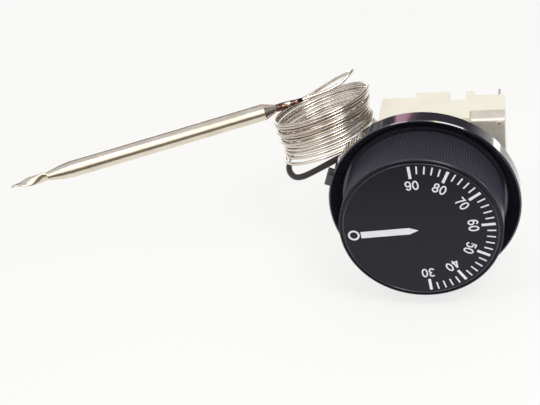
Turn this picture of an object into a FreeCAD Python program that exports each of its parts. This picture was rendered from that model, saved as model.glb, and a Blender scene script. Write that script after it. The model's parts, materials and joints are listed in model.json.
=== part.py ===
import FreeCAD, Part
import math
import os

from FreeCAD import Vector

# Three-pole capillary thermostat. Millimetres, X right, Y back, Z up.
# The spindle turns about Y. y = 0 is the panel side of the bracket and the back of the bezel.

# Knob
KNOB_R = 28.0
KNOB_FACE_Y = -22.0
KNOB_REAR_GAP = 0.4
KNOB_WALL = 1.6
KNOB_TOP = 2.0
KNOB_EDGE = 0.3
KNOB_RIM = 0.7
FLUTE_COUNT = 180
FLUTE_DEPTH = 0.35
LIP_WIDTH = 0.7
GROOVE_WIDTH = 0.75
GROOVE_DEPTH = 0.5
HUB_R = 5.5
HUB_GAP = 0.65
BORE_END_GAP = 0.1
RIB_COUNT = 4
RIB_WIDTH = 1.2
RIB_HEIGHT = 7.0
RIB_ROOT = 0.5
CLIP_STRIP = (3.5, 0.4, 10.0)
CLIP_STRIP_INSET = 1.0

# Spindle, bush and end stop
SPINDLE_R = 3.0
SPINDLE_FRONT_Y = -18.5
SPINDLE_FLAT = 1.4
FLAT_PAST_HUB = 0.2
RUNNING_FIT = 0.05
CUT_PAST = 1.0
BUSH_R = 5.0
BUSH_FRONT_Y = -2.8
BUSH_REAR_Y = 6.0
BUSH_FLANGE_R = 6.5
BUSH_FLANGE = 1.2
EDGE_BREAK = 0.4
CLIP_RING_R = 4.6
CLIP_RING = 0.7
CLIP_GROOVE = 0.7
CLIP_MOUTH_SHARE = 0.8
CLIP_LUG_SHARE = 0.72
CLIP_LUG_HOLE_SHARE = 0.25
COLLAR_R = 4.4
COLLAR = 1.5
TURN_RANGE = 295.0
STOP_PIN_R = 0.8
STOP_PIN_CENTRE = 8.2
STOP_PIN_ANGLE = 90.0
STOP_GAP_ANGLE = 0.5
STOP_TOOTH_SHORT = 0.1
STOP_PIN_SUNK = 0.1
TAIL_R = 2.0
TAIL_REAR_Y = 13.0

# Bezel
KNOB_GAP = 1.0
FLOOR_FILLET = 1.0
FLOOR_FILLET_RISE = 0.6
FLOOR_FILLET_SAG = (0.1, 0.12)
SLOPE_WIDTH = 3.2
RIM_WIDTH = 0.3
BEZEL_DEPTH = 5.65
BEZEL_LIP = 0.3
BEZEL_FLOOR = 2.0
BEZEL_LAND = 2.8
BEZEL_RECESS = 0.6
BEZEL_HUB_R = 9.0
BEZEL_FIT = 0.1
NUB_ANGLE = 161.0
NUB_WIDTH = 4.4
NUB_PROUD = 1.9
NUB_RISE = 0.35
NUB_INSIDE = 0.4
NUB_TOE = 0.2
NUB_BACK_SHARE = 0.4
NUB_BACK_RUN_SHARE = 1 / 3
NUB_REAR_Y = -1.5
HEAD_ACCESS_R = 4.2

# Bracket
SCREW_PITCH = 28.0
SCREW_HOLE_R = 1.65
BRACKET_T = 1.5
BRACKET_WIDTH = 18.0
BRACKET_INSET = 4.0
BRACKET_BEND = 2.2
BRACKET_TAB = 6.0
BRACKET_TAB_PROUD = 0.5
SLOT_FIT = 0.05

# Chassis plate
PLATE_FRONT_Y = 11.4
PLATE_T = 1.0
PLATE_LEFT_X = -15.5
PLATE_RIGHT_X = 28.4
LUG_WIDTH = 11.5
LUG_REACH = 6.5
LUG_BEND = 1.3
LUG_ROOT = 2.0
RIVET_R = 0.65
RIVET_HEAD_R = 1.15
RIVET_HEAD = 0.35
RIVET_DIMPLE_SHARE = 0.8
RIVET_TIP_GAP = 0.5
RIVET_INSET_X = 1.9
RIVET_INSET_Z = 2.1
TONGUE_WIDTH = 6.0
TONGUE_FIT = 0.1
SPRING_WINDOW_GAP = 0.4

# Switch housing
BODY_LEFT_X = -16.0
BODY_RIGHT_X = 28.5
BODY_HEIGHT = 48.0
BODY_REAR_Y = 29.8
BODY_EDGE = 0.5
SIDE_WALL = 1.5
TOP_WALL = 1.8
PARTITION = 1.2
PARTITION_FRONT_Y = 20.2
NOTCH_X = (8.6, 14.4)
NOTCH_Y = 26.6
POST_WIDTH = 3.0
BARRIER_Y = 33.3
BARRIER_LEFT_X = -3.9
LUG_GAP = 0.7
RAIL_FIT = 0.1
RAIL_T = 1.0
RAIL_Y = (15.0, 19.9)
RAIL_REACH = 2.0
PARTITION_ROOT = 0.5
CORNER_POST = 3.9
CORNER_POST_DEPTH = 6.0
WINDOW_FIT = 0.15

# Sensing capsule and transfer pin
CAPSULE_X = 16.0
CAPSULE_R = 11.5
CAPSULE_T = 2.8
CAPSULE_RIM = 1.0
CAPSULE_RIM_WIDTH = 1.4
CAPSULE_SEAT_SHARE = 0.72
CAPSULE_RING_COUNT = 2
CAPSULE_RING_DEPTH = 0.3
CAPSULE_CENTRE_R = (1.5, 2.2)
CAPSULE_CENTRE_DEPTH = 0.5
SPIGOT_ROOT = 2.5
SPIGOT_ANGLE = 125.0
SPIGOT_R = 1.1
SPIGOT_END = 13.0
TRANSFER_R = 1.8
TRANSFER_TIP = 1.2
TRANSFER_GAP = 0.1

# Range nut and spring
NUT_SIDE = 8.0
NUT_T = 2.6
NUT_FRONT_Y = 8.0
NUT_ROUND_SHARE = 0.62
SPRING_OUTER_R = 3.5
SPRING_WIRE = 0.9
SPRING_FLAT_COUNT = 6
SPRING_LENGTH = 4.0
SPRING_TURNS = 2.5
SPRING_SEAT_GAP = 0.02

# Rocker lever and its pivot
PIVOT_X = 6.5
PIVOT_R = 1.0
LEVER_FRONT_Y = 16.0
LEVER_T = 1.5
LEVER_X = (-10.0, 20.0)
LEVER_WIDTH = 8.0
LEVER_EYE_R = 1.9
EDGE_MATCH = 0.01
LEVER_TIP = 1.5
LEVER_TOUCH_GAP = 0.1
PIP_R = 1.6
PIP_LENGTH = 1.0
EAR_T = 1.0
EAR_GAP = 1.2
EAR_R = 1.9
PIN_PROUD = 0.6
TRIM_SCREW_X = -8.0
TRIM_SCREW_R = 1.5
TRIM_HEAD_R = 2.75
TRIM_HEAD = 1.5
TRIM_GAP = 1.25
TRIM_SLOT = 0.7

# Plunger
PLUNGER_X = 13.5
PLUNGER_WIDTH = 3.0
PLUNGER_FRONT_Y = 17.9
PLUNGER_REAR_Y = 19.4
PLUNGER_END_GAP = 3.7
NOSE_R = 0.6
NOSE_GAP = 0.1
FINGER_R = 0.8
FINGER_WIDTH = 3.0
FINGER_GAP = 0.05

# Contacts and terminals
ARM_FRONT_Y = 21.6
ARM_T = 0.4
ARM_X = (1.0, 21.2)
ARM_HINGE_X = 3.0
ARM_WIDTH = 5.0
ARM_NECK_SHARE = 0.7
ARM_TAPER = (6.0, 3.0)
CONTACT_X = 19.5
CONTACT_R = 1.75
CONTACT_T = 0.8
CONTACT_GAP = 0.05
STRIP_T = 0.8
TAB_WIDTH = 6.3
TAB_TIP = 1.2
LINE_SHELF_X = 17.0
LINE_TAB_X = 25.9
LINE_TAB_INSET = 5.7
LINE_TAB_Y = 40.1
LOAD_PLATE_X = -6.0
LOAD_PLATE_HEIGHT = 6.0
LOAD_TAB_X = -3.3
LOAD_TAB_Y = 39.0

# Capillary, sleeve, coil and bulb
TUBE_R = 0.6
SLEEVE_R = 1.15
SLEEVE_FIT = 0.05
SPIGOT_RUN = 4.6
LEAD_ROUTE = [
    (-1.5, 9.3, 14.9), (-14.0, 7.4, 15.1), (-26.6, 6.7, 14.9), (-38.0, 6.0, 8.7), (-47.8, 6.0, 4.4),
    (-52.8, 12.0, 3.7), (-53.2, 18.9, 5.0), (-50.9, 24.6, 7.4),
]
SLEEVE_START_COUNT = 3
SLEEVE_BEND_COUNT = 4
BEND_SHARE = 0.45
LOOP_ROUTE = [
    (-38.9, 38.4, 23.0), (-31.3, 38.9, 28.2), (-24.6, 32.6, 35.4), (-24.6, 22.4, 41.6), (-33.4, 13.8, 40.3),
    (-41.6, 9.4, 35.8), (-48.24, 6.76, 34.54),
]
COIL_FOOT = Vector(-35.0, 20.0, 12.4)
COIL_AXIS = Vector(-0.30, 0.17, 0.94)
COIL_HEIGHT = 15.5
COIL_R = (17.4, 16.6)
COIL_WALL = 3.0
BULB_START = Vector(-45.9, 7.6, 34.8)
BULB_AXIS = Vector(-0.936, -0.3345, -0.104)
BULB_R = 3.0
BULB_TAPER = (5.0, 9.6)
BULB_CYLINDER_END = 81.4
BULB_SHOULDER = (2.58, 3.6)
BULB_NECK = 90.0
BULB_NECK_R = 1.55
BULB_CRIMP_R = 1.25
BULB_CRIMP = (1.35, 0.95)
BULB_CRIMP_SHARE = 0.7
BULB_STEP = 0.1
BULB_ROOT = 0.5
BULB_TAIL_END = 103.4
BULB_TAIL = [(1.70, 0.80, 25.0), (1.75, 0.62, 70.0), (1.70, 0.60, 115.0), (1.15, 0.45, 130.0)]

# Places that follow from the sizes above
KNOB_REAR_Y = -BEZEL_FLOOR - KNOB_REAR_GAP
HUB_REAR_Y = BUSH_FRONT_Y - RUNNING_FIT - CLIP_RING - HUB_GAP
FLAT_REAR_Y = HUB_REAR_Y + FLAT_PAST_HUB
FLOOR_R = KNOB_R + KNOB_GAP
SLOPE_FOOT_R = FLOOR_R + FLOOR_FILLET
SLOPE_FOOT_Y = -BEZEL_FLOOR - FLOOR_FILLET_RISE
SLOPE_TOP_R = SLOPE_FOOT_R + SLOPE_WIDTH
BEZEL_R = SLOPE_TOP_R + RIM_WIDTH + BEZEL_LIP
NUB_INNER_R = SLOPE_FOOT_R - NUB_INSIDE
NUB_R = BEZEL_R + NUB_PROUD
NUB_FRONT_Y = -BEZEL_DEPTH - BEZEL_LIP - NUB_RISE
HALF_BODY = BODY_HEIGHT / 2
BRACKET_HEIGHT = BODY_HEIGHT - 2 * BRACKET_INSET
CHAMBER_PITCH = (BODY_HEIGHT - 2 * TOP_WALL + PARTITION) / 3
PLUNGER_SPAN = BODY_HEIGHT - 2 * (TOP_WALL + PLUNGER_END_GAP)
LINE_TAB_Z = HALF_BODY - LINE_TAB_INSET
PLATE_REAR_Y = PLATE_FRONT_Y + PLATE_T
HALF_PLATE = HALF_BODY - PLATE_T
COLLAR_FRONT_Y = BUSH_REAR_Y + 2 * RUNNING_FIT
COLLAR_REAR_Y = COLLAR_FRONT_Y + COLLAR
LEVER_REAR_Y = LEVER_FRONT_Y + LEVER_T
PIVOT_Y = LEVER_FRONT_Y + LEVER_T / 2
FIXED_CONTACT_Y = ARM_FRONT_Y - CONTACT_T - CONTACT_GAP
SHELF_Y = FIXED_CONTACT_Y - CONTACT_T
CHAMBERS = (CHAMBER_PITCH, 0.0, -CHAMBER_PITCH)
LINE_TABS = (LINE_TAB_Z, 0.0, -LINE_TAB_Z)
CAVITY_REAR_Y = BODY_REAR_Y - SIDE_WALL

os.makedirs("parts", exist_ok=True)


def block(x0, x1, y0, y1, z0, z1):
    """A box between two corners."""
    return Part.makeBox(x1 - x0, y1 - y0, z1 - z0, Vector(x0, y0, z0))


def rod(radius, y0, y1, x=0.0, z=0.0):
    """A round rod along Y."""
    return Part.makeCylinder(radius, y1 - y0, Vector(x, y0, z), Vector(0, 1, 0))


def cross_rod(radius, x, y, z0, z1):
    """A round rod along Z."""
    return Part.makeCylinder(radius, z1 - z0, Vector(x, y, z0), Vector(0, 0, 1))


def outline(points, lift):
    """A face from corners; a pair of corners is an arc through the first to the second."""
    edges = []
    last = lift(*points[0])
    for item in points[1:] + [points[0]]:
        if isinstance(item[0], tuple):
            end = lift(*item[1])
            edges.append(Part.Arc(last, lift(*item[0]), end).toShape())
        else:
            end = lift(*item)
            edges.append(Part.LineSegment(last, end).toShape())
        last = end
    return Part.Face(Part.Wire(edges))


def turned(points):
    """A body of revolution about the spindle axis from (radius, y) corners."""
    face = outline(points, lambda r, y: Vector(r, y, 0))
    return face.revolve(Vector(0, 0, 0), Vector(0, 1, 0), 360)


def plan_prism(points, z0, z1):
    """An (x, y) outline raised along Z."""
    face = outline(points, lambda x, y: Vector(x, y, z0))
    return face.extrude(Vector(0, 0, z1 - z0))


def side_prism(points, x0, x1):
    """A (y, z) outline raised along X."""
    face = outline(points, lambda y, z: Vector(x0, y, z))
    return face.extrude(Vector(x1 - x0, 0, 0))


def spun(shape, angle):
    """The shape turned about the spindle axis, counter-clockwise seen from the front."""
    copy = shape.copy()
    copy.rotate(Vector(0, 0, 0), Vector(0, 1, 0), -angle)
    return copy


def mirrored(shape):
    """The shape mirrored top to bottom."""
    return shape.mirror(Vector(0, 0, 0), Vector(0, 0, 1))


def save(name, *solids):
    """Write one sub-part; like pieces are separate solids of it."""
    shape = solids[0] if len(solids) == 1 else Part.makeCompound(list(solids))
    shape.exportStep(f"parts/{name}.step")
    print(name, len(shape.Solids), "solid", round(shape.Volume, 1), "mm3", "valid", shape.isValid())


def fluted_side(y0, y1):
    """The knob's side with its V flutes."""
    corners = []
    for index in range(2 * FLUTE_COUNT):
        angle = math.pi * index / FLUTE_COUNT
        radius = KNOB_R - FLUTE_DEPTH * (index % 2)
        corners.append(Vector(radius * math.cos(angle), y0, radius * math.sin(angle)))
    face = Part.Face(Part.makePolygon(corners + [corners[0]]))
    return face.extrude(Vector(0, y1 - y0, 0))


def spindle_section(radius, flat_z, y0, y1):
    """A round rod with one flat."""
    return rod(radius, y0, y1).common(block(-radius, radius, y0, y1, -radius, flat_z))


def make_knob():
    """Hollow cap with a plain front rim, a fluted side, a hub with a D bore and stiffening ribs."""
    inner_r = KNOB_R - KNOB_WALL
    ceiling_y = KNOB_FACE_Y + KNOB_TOP
    rim_y = KNOB_FACE_Y + KNOB_RIM
    rim = turned([(0, KNOB_FACE_Y), (KNOB_R - KNOB_EDGE, KNOB_FACE_Y), (KNOB_R, KNOB_FACE_Y + KNOB_EDGE),
                  (KNOB_R, rim_y), (0, rim_y)])
    knob = rim.fuse(fluted_side(rim_y, KNOB_REAR_Y)).cut(rod(inner_r, ceiling_y, KNOB_REAR_Y))
    groove_r = KNOB_R - LIP_WIDTH
    groove = rod(groove_r, KNOB_FACE_Y, KNOB_FACE_Y + GROOVE_DEPTH)
    knob = knob.cut(groove.cut(rod(groove_r - GROOVE_WIDTH, KNOB_FACE_Y, KNOB_FACE_Y + GROOVE_DEPTH)))
    core = rod(HUB_R, ceiling_y, HUB_REAR_Y)
    for index in range(RIB_COUNT):
        rib = block(HUB_R - RIB_ROOT, inner_r + RIB_ROOT, ceiling_y, ceiling_y + RIB_HEIGHT,
                    -RIB_WIDTH / 2, RIB_WIDTH / 2)
        core = core.fuse(spun(rib, 360.0 * (index + 0.5) / RIB_COUNT))
    knob = knob.fuse(core)
    flat_z = SPINDLE_R - SPINDLE_FLAT + CLIP_STRIP[1] + 2 * RUNNING_FIT
    bore = spindle_section(SPINDLE_R + RUNNING_FIT, flat_z, SPINDLE_FRONT_Y - BORE_END_GAP, HUB_REAR_Y)
    return knob.cut(bore).removeSplitter()


def make_knob_clip():
    """Spring strip that wedges the hub on the spindle's flat."""
    width, thick, length = CLIP_STRIP
    z0 = SPINDLE_R - SPINDLE_FLAT + RUNNING_FIT
    rear = FLAT_REAR_Y - CLIP_STRIP_INSET
    return block(-width / 2, width / 2, rear - length, rear, z0, z0 + thick)


def stop_tooth():
    """Sector on the collar that meets the stop pin at both ends of the turn."""
    reach = STOP_PIN_CENTRE + STOP_PIN_R - STOP_TOOTH_SHORT
    pin_half = math.degrees(math.asin(STOP_PIN_R / STOP_PIN_CENTRE))
    half = (360 - TURN_RANGE) / 2 - pin_half - STOP_GAP_ANGLE
    sector = Part.makeCylinder(reach, COLLAR, Vector(0, COLLAR_FRONT_Y, 0), Vector(0, 1, 0))
    wedge_r = 2 * reach
    corners = [(0, 0)]
    for angle in (-half, 0, half):
        turn = math.radians(angle)
        corners.append((wedge_r * math.cos(turn), wedge_r * math.sin(turn)))
    face = outline(corners, lambda x, z: Vector(x, COLLAR_FRONT_Y, z))
    tooth = sector.common(face.extrude(Vector(0, COLLAR, 0)))
    return spun(tooth, STOP_PIN_ANGLE - (360 - TURN_RANGE) / 2)


def make_spindle():
    """Spindle with flat, clip groove, stop collar and threaded tail."""
    front = SPINDLE_FRONT_Y
    shaft = turned([(0, front), (SPINDLE_R - EDGE_BREAK, front), (SPINDLE_R, front + EDGE_BREAK),
                    (SPINDLE_R, COLLAR_FRONT_Y), (COLLAR_R, COLLAR_FRONT_Y), (COLLAR_R, COLLAR_REAR_Y),
                    (TAIL_R, COLLAR_REAR_Y), (TAIL_R, TAIL_REAR_Y - EDGE_BREAK),
                    (TAIL_R - EDGE_BREAK, TAIL_REAR_Y), (0, TAIL_REAR_Y)])
    flat = block(-SPINDLE_R, SPINDLE_R, front, FLAT_REAR_Y, SPINDLE_R - SPINDLE_FLAT, SPINDLE_R)
    groove_rear = BUSH_FRONT_Y
    groove_front = groove_rear - CLIP_RING - 2 * RUNNING_FIT
    ring = rod(SPINDLE_R + CUT_PAST, groove_front, groove_rear)
    ring = ring.cut(rod(SPINDLE_R - CLIP_GROOVE, groove_front, groove_rear))
    return shaft.fuse(stop_tooth()).cut(flat).cut(ring).removeSplitter()


def make_retaining_clip():
    """Open ring that snaps into the spindle's groove in front of the bush."""
    y1 = BUSH_FRONT_Y - RUNNING_FIT
    y0 = y1 - CLIP_RING
    inner_r = SPINDLE_R - CLIP_GROOVE + RUNNING_FIT
    ring = rod(CLIP_RING_R, y0, y1).cut(rod(inner_r, y0, y1))
    mouth = CLIP_MOUTH_SHARE * inner_r
    lug = CLIP_LUG_SHARE * CLIP_RING_R
    ring = ring.cut(block(-mouth, mouth, y0, y1, -CLIP_RING_R, 0))
    for side in (-1, 1):
        ring = ring.cut(rod(CLIP_LUG_HOLE_SHARE * CLIP_RING_R, y0, y1, side * lug, lug))
    return ring


def make_bush():
    """Flanged bush in the bracket that the spindle runs in."""
    bore = SPINDLE_R + RUNNING_FIT
    flange_rear = BRACKET_T + BUSH_FLANGE
    return turned([(bore, BUSH_FRONT_Y), (BUSH_R - EDGE_BREAK, BUSH_FRONT_Y),
                   (BUSH_R, BUSH_FRONT_Y + EDGE_BREAK), (BUSH_R, BRACKET_T), (BUSH_FLANGE_R, BRACKET_T),
                   (BUSH_FLANGE_R, flange_rear), (BUSH_R, flange_rear), (BUSH_R, BUSH_REAR_Y),
                   (bore, BUSH_REAR_Y)])


def make_stop_pin():
    """Pin in the bracket that ends the spindle's turn."""
    turn = math.radians(STOP_PIN_ANGLE)
    x = STOP_PIN_CENTRE * math.cos(turn)
    z = STOP_PIN_CENTRE * math.sin(turn)
    return rod(STOP_PIN_R, STOP_PIN_SUNK, COLLAR_REAR_Y, x, z)


def index_nub():
    """Raised index mark that crosses the bezel's slope and rim."""
    step = NUB_BACK_RUN_SHARE * (SLOPE_TOP_R - NUB_INNER_R)
    toe_y = SLOPE_FOOT_Y + NUB_TOE
    back_y = SLOPE_FOOT_Y + NUB_BACK_SHARE * (NUB_FRONT_Y - SLOPE_FOOT_Y)
    corners = [(NUB_INNER_R, toe_y), (NUB_INNER_R + step, back_y), (SLOPE_TOP_R, NUB_FRONT_Y),
               (NUB_R - EDGE_BREAK, NUB_FRONT_Y), (NUB_R, NUB_FRONT_Y + EDGE_BREAK), (NUB_R, NUB_REAR_Y),
               (SLOPE_FOOT_R, NUB_REAR_Y)]
    nub = plan_prism(corners, -NUB_WIDTH / 2, NUB_WIDTH / 2)
    return spun(nub, NUB_ANGLE)


def make_bezel():
    """Dished ring round the knob with a conical slope, an outer band and an index nub."""
    front_y = -BEZEL_DEPTH
    sag_r, sag_y = FLOOR_FILLET_SAG
    fillet_mid = ((FLOOR_R + SLOPE_FOOT_R) / 2 + sag_r, (SLOPE_FOOT_Y - BEZEL_FLOOR) / 2 + sag_y)
    ring = turned([
        (BUSH_R + BEZEL_FIT, 0), (BEZEL_HUB_R, 0), (BEZEL_HUB_R, -BEZEL_RECESS),
        (BEZEL_R - BEZEL_LAND, -BEZEL_RECESS), (BEZEL_R - BEZEL_LAND, 0), (BEZEL_R, 0), (BEZEL_R, front_y),
        (BEZEL_R - BEZEL_LIP, front_y - BEZEL_LIP), (SLOPE_TOP_R, front_y - BEZEL_LIP),
        (SLOPE_FOOT_R, SLOPE_FOOT_Y), (fillet_mid, (FLOOR_R, -BEZEL_FLOOR)),
        (BUSH_R + BEZEL_FIT, -BEZEL_FLOOR)])
    bezel = ring.fuse(index_nub())
    for z in (-SCREW_PITCH / 2, SCREW_PITCH / 2):
        bezel = bezel.cut(rod(HEAD_ACCESS_R, -BEZEL_FLOOR - CUT_PAST, CUT_PAST, 0, z))
    return bezel.removeSplitter()


def make_bracket():
    """Stirrup folded from strip: a web on the panel and two legs with staked tabs."""
    half = BRACKET_HEIGHT / 2
    inner = BRACKET_BEND - BRACKET_T
    bend = BRACKET_BEND * (1 - math.sqrt(0.5))
    inner_bend = BRACKET_T + inner * (1 - math.sqrt(0.5))
    end_y = PLATE_FRONT_Y
    profile = [
        (end_y, half), (BRACKET_BEND, half), ((bend, half - bend), (0, half - BRACKET_BEND)),
        (0, BRACKET_BEND - half), ((bend, bend - half), (BRACKET_BEND, -half)), (end_y, -half),
        (end_y, BRACKET_T - half), (BRACKET_BEND, BRACKET_T - half),
        ((inner_bend, inner_bend - half), (BRACKET_T, BRACKET_BEND - half)),
        (BRACKET_T, half - BRACKET_BEND), ((inner_bend, half - inner_bend), (BRACKET_BEND, half - BRACKET_T)),
        (end_y, half - BRACKET_T)]
    bracket = side_prism(profile, -BRACKET_WIDTH / 2, BRACKET_WIDTH / 2)
    tab_end = PLATE_REAR_Y + BRACKET_TAB_PROUD
    tab = block(-BRACKET_TAB / 2, BRACKET_TAB / 2, end_y, tab_end, half - BRACKET_T, half)
    rear = BRACKET_T + CUT_PAST
    bracket = bracket.fuse(tab).fuse(mirrored(tab)).cut(rod(BUSH_R + RUNNING_FIT, -CUT_PAST, rear))
    for z in (-SCREW_PITCH / 2, SCREW_PITCH / 2):
        bracket = bracket.cut(rod(SCREW_HOLE_R, -CUT_PAST, rear, 0, z))
    turn = math.radians(STOP_PIN_ANGLE)
    pin_x = STOP_PIN_CENTRE * math.cos(turn)
    pin_z = STOP_PIN_CENTRE * math.sin(turn)
    return bracket.cut(rod(STOP_PIN_R + RUNNING_FIT / 2, -CUT_PAST, rear, pin_x, pin_z)).removeSplitter()


def fold_lug(x0):
    """Lug bent back from the plate's edge over the housing, seen as a (y, z) section."""
    inner_r = LUG_BEND - PLATE_T
    bend = LUG_BEND * (1 - math.sqrt(0.5))
    inner = inner_r * (1 - math.sqrt(0.5))
    top = HALF_BODY
    rear = PLATE_FRONT_Y + LUG_REACH
    section = [
        (PLATE_FRONT_Y, HALF_PLATE - LUG_ROOT), (PLATE_FRONT_Y, top - LUG_BEND),
        ((PLATE_FRONT_Y + bend, top - bend), (PLATE_FRONT_Y + LUG_BEND, top)), (rear, top),
        (rear, HALF_PLATE), (PLATE_FRONT_Y + LUG_BEND, HALF_PLATE),
        ((PLATE_REAR_Y + inner, HALF_PLATE - inner), (PLATE_REAR_Y, HALF_PLATE - inner_r)),
        (PLATE_REAR_Y, HALF_PLATE - LUG_ROOT)]
    return side_prism(section, x0, x0 + LUG_WIDTH)


def rivet_places():
    """Centres of the corner rivets."""
    z = HALF_PLATE + PLATE_T - RIVET_INSET_Z
    return [(PLATE_RIGHT_X - RIVET_INSET_X, z), (PLATE_RIGHT_X - RIVET_INSET_X, -z),
            (PLATE_LEFT_X + RIVET_INSET_X, z), (PLATE_LEFT_X + RIVET_INSET_X, -z)]


def pivot_ear():
    """Ear bent back from the plate that carries the pivot pin."""
    inner_z = LEVER_WIDTH / 2 + EAR_GAP
    ear = plan_prism([(PIVOT_X - EAR_R, PLATE_REAR_Y), (PIVOT_X + EAR_R, PLATE_REAR_Y),
                      (PIVOT_X + EAR_R, PIVOT_Y), ((PIVOT_X, PIVOT_Y + EAR_R), (PIVOT_X - EAR_R, PIVOT_Y))],
                     inner_z, inner_z + EAR_T)
    outer_z = inner_z + EAR_T + CUT_PAST
    return ear.cut(cross_rod(PIVOT_R + RUNNING_FIT / 2, PIVOT_X, PIVOT_Y, inner_z - CUT_PAST, outer_z))


def make_plate():
    """Metal front plate of the switch with lugs, guide tongues, pivot ears and windows."""
    plate = block(PLATE_LEFT_X, PLATE_RIGHT_X, PLATE_FRONT_Y, PLATE_REAR_Y, -HALF_PLATE, HALF_PLATE)
    right_lug = fold_lug(PLATE_RIGHT_X - LUG_WIDTH)
    root_z = HALF_PLATE - LUG_ROOT
    corner = block(PLATE_RIGHT_X - LUG_WIDTH, PLATE_RIGHT_X, PLATE_FRONT_Y, PLATE_REAR_Y, root_z, HALF_PLATE)
    plate = plate.cut(corner).cut(mirrored(corner)).fuse(right_lug).fuse(mirrored(right_lug))
    lug_x = PLATE_LEFT_X + LUG_WIDTH
    low_corner = block(PLATE_LEFT_X, lug_x, PLATE_FRONT_Y, PLATE_REAR_Y, -HALF_PLATE, -root_z)
    plate = plate.cut(low_corner).fuse(mirrored(fold_lug(PLATE_LEFT_X)))
    tongue_z = NUT_SIDE / 2 + TONGUE_FIT
    tongue = block(-TONGUE_WIDTH / 2, TONGUE_WIDTH / 2, NUT_FRONT_Y - TONGUE_FIT, PLATE_FRONT_Y,
                   tongue_z, tongue_z + PLATE_T)
    plate = plate.fuse(tongue).fuse(mirrored(tongue)).fuse(pivot_ear()).fuse(mirrored(pivot_ear()))
    window_x = SPRING_OUTER_R + SPRING_WINDOW_GAP
    plate = plate.cut(block(-window_x, window_x, PLATE_FRONT_Y, PLATE_REAR_Y, -tongue_z, tongue_z))
    plate = plate.cut(rod(TRANSFER_R + RUNNING_FIT, PLATE_FRONT_Y, PLATE_REAR_Y, CAPSULE_X))
    plate = plate.cut(rod(TRIM_SCREW_R + RUNNING_FIT / 2, PLATE_FRONT_Y, PLATE_REAR_Y, TRIM_SCREW_X))
    half = BRACKET_HEIGHT / 2
    slot_x = BRACKET_TAB / 2 + SLOT_FIT
    slot = block(-slot_x, slot_x, PLATE_FRONT_Y, PLATE_REAR_Y, half - BRACKET_T - SLOT_FIT, half + SLOT_FIT)
    plate = plate.cut(slot).cut(mirrored(slot))
    for x, z in rivet_places():
        plate = plate.cut(rod(RIVET_R + RUNNING_FIT, PLATE_FRONT_Y - CUT_PAST, PLATE_REAR_Y, x, z))
    return plate.removeSplitter()


def make_rivets():
    """Corner rivets that hold the plate on the housing, with a dimple in each head."""
    rivets = []
    tip_y = PLATE_REAR_Y + CORNER_POST_DEPTH - 2 * RIVET_TIP_GAP
    head_y = PLATE_FRONT_Y - RIVET_HEAD
    for x, z in rivet_places():
        rivet = rod(RIVET_R, PLATE_FRONT_Y, tip_y, x, z).fuse(rod(RIVET_HEAD_R, head_y, PLATE_FRONT_Y, x, z))
        dimple = rod(RIVET_R * RIVET_DIMPLE_SHARE, head_y, PLATE_REAR_Y, x, z)
        rivets.append(rivet.cut(dimple).removeSplitter())
    return rivets


def housing_cavity():
    """Inside of the housing, stepped round the rear notch."""
    left = BODY_LEFT_X + SIDE_WALL
    right = BODY_RIGHT_X - SIDE_WALL
    step_y = NOTCH_Y - SIDE_WALL
    half = HALF_BODY - TOP_WALL
    return plan_prism([(left, PLATE_REAR_Y), (right, PLATE_REAR_Y), (right, CAVITY_REAR_Y),
                       (NOTCH_X[1] + SIDE_WALL, CAVITY_REAR_Y), (NOTCH_X[1] + SIDE_WALL, step_y),
                       (NOTCH_X[0] - SIDE_WALL, step_y), (NOTCH_X[0] - SIDE_WALL, CAVITY_REAR_Y),
                       (left, CAVITY_REAR_Y)], -half, half)


def barrier_fins():
    """Walls behind the housing that keep the load tabs apart."""
    spans = [(HALF_BODY - TOP_WALL, HALF_BODY), (-HALF_BODY, TOP_WALL - HALF_BODY)]
    for side in (-1, 1):
        z = side * CHAMBER_PITCH / 2
        spans.append((z - PARTITION / 2, z + PARTITION / 2))
    return [block(BARRIER_LEFT_X, NOTCH_X[0], CAVITY_REAR_Y, BARRIER_Y, z0, z1) for z0, z1 in spans]


def plunger_rails():
    """Pairs of ribs in the housing that guide the ends of the plunger bar."""
    rails = []
    offset = PLUNGER_WIDTH / 2 + RAIL_FIT
    for side in (-1, 1):
        z0, z1 = sorted((side * (PLUNGER_SPAN / 2 - RAIL_REACH), side * (HALF_BODY - TOP_WALL)))
        rails.append(block(PLUNGER_X + offset, PLUNGER_X + offset + RAIL_T, RAIL_Y[0], RAIL_Y[1], z0, z1))
        rails.append(block(PLUNGER_X - offset - RAIL_T, PLUNGER_X - offset, RAIL_Y[0], RAIL_Y[1], z0, z1))
    return rails


def corner_posts():
    """Posts in the housing's corners that take the plate's rivets."""
    posts = []
    y1 = PLATE_REAR_Y + CORNER_POST_DEPTH
    for x0 in (BODY_LEFT_X, BODY_RIGHT_X - CORNER_POST):
        for z0 in (-HALF_BODY, HALF_BODY - CORNER_POST):
            posts.append(block(x0, x0 + CORNER_POST, PLATE_REAR_Y, y1, z0, z0 + CORNER_POST))
    return posts


def lug_pocket(x0, x1):
    """Recess in the housing's top that takes a lug flush, relieved for the bend's inside."""
    rear = PLATE_FRONT_Y + LUG_REACH + RAIL_FIT
    relief = LUG_BEND - PLATE_T + RUNNING_FIT
    front = PLATE_REAR_Y - CUT_PAST
    pocket = block(x0, x1, front, rear, HALF_PLATE, HALF_BODY + CUT_PAST)
    return pocket.fuse(block(x0, x1, front, PLATE_REAR_Y + relief, HALF_PLATE - relief, HALF_BODY))


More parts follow.
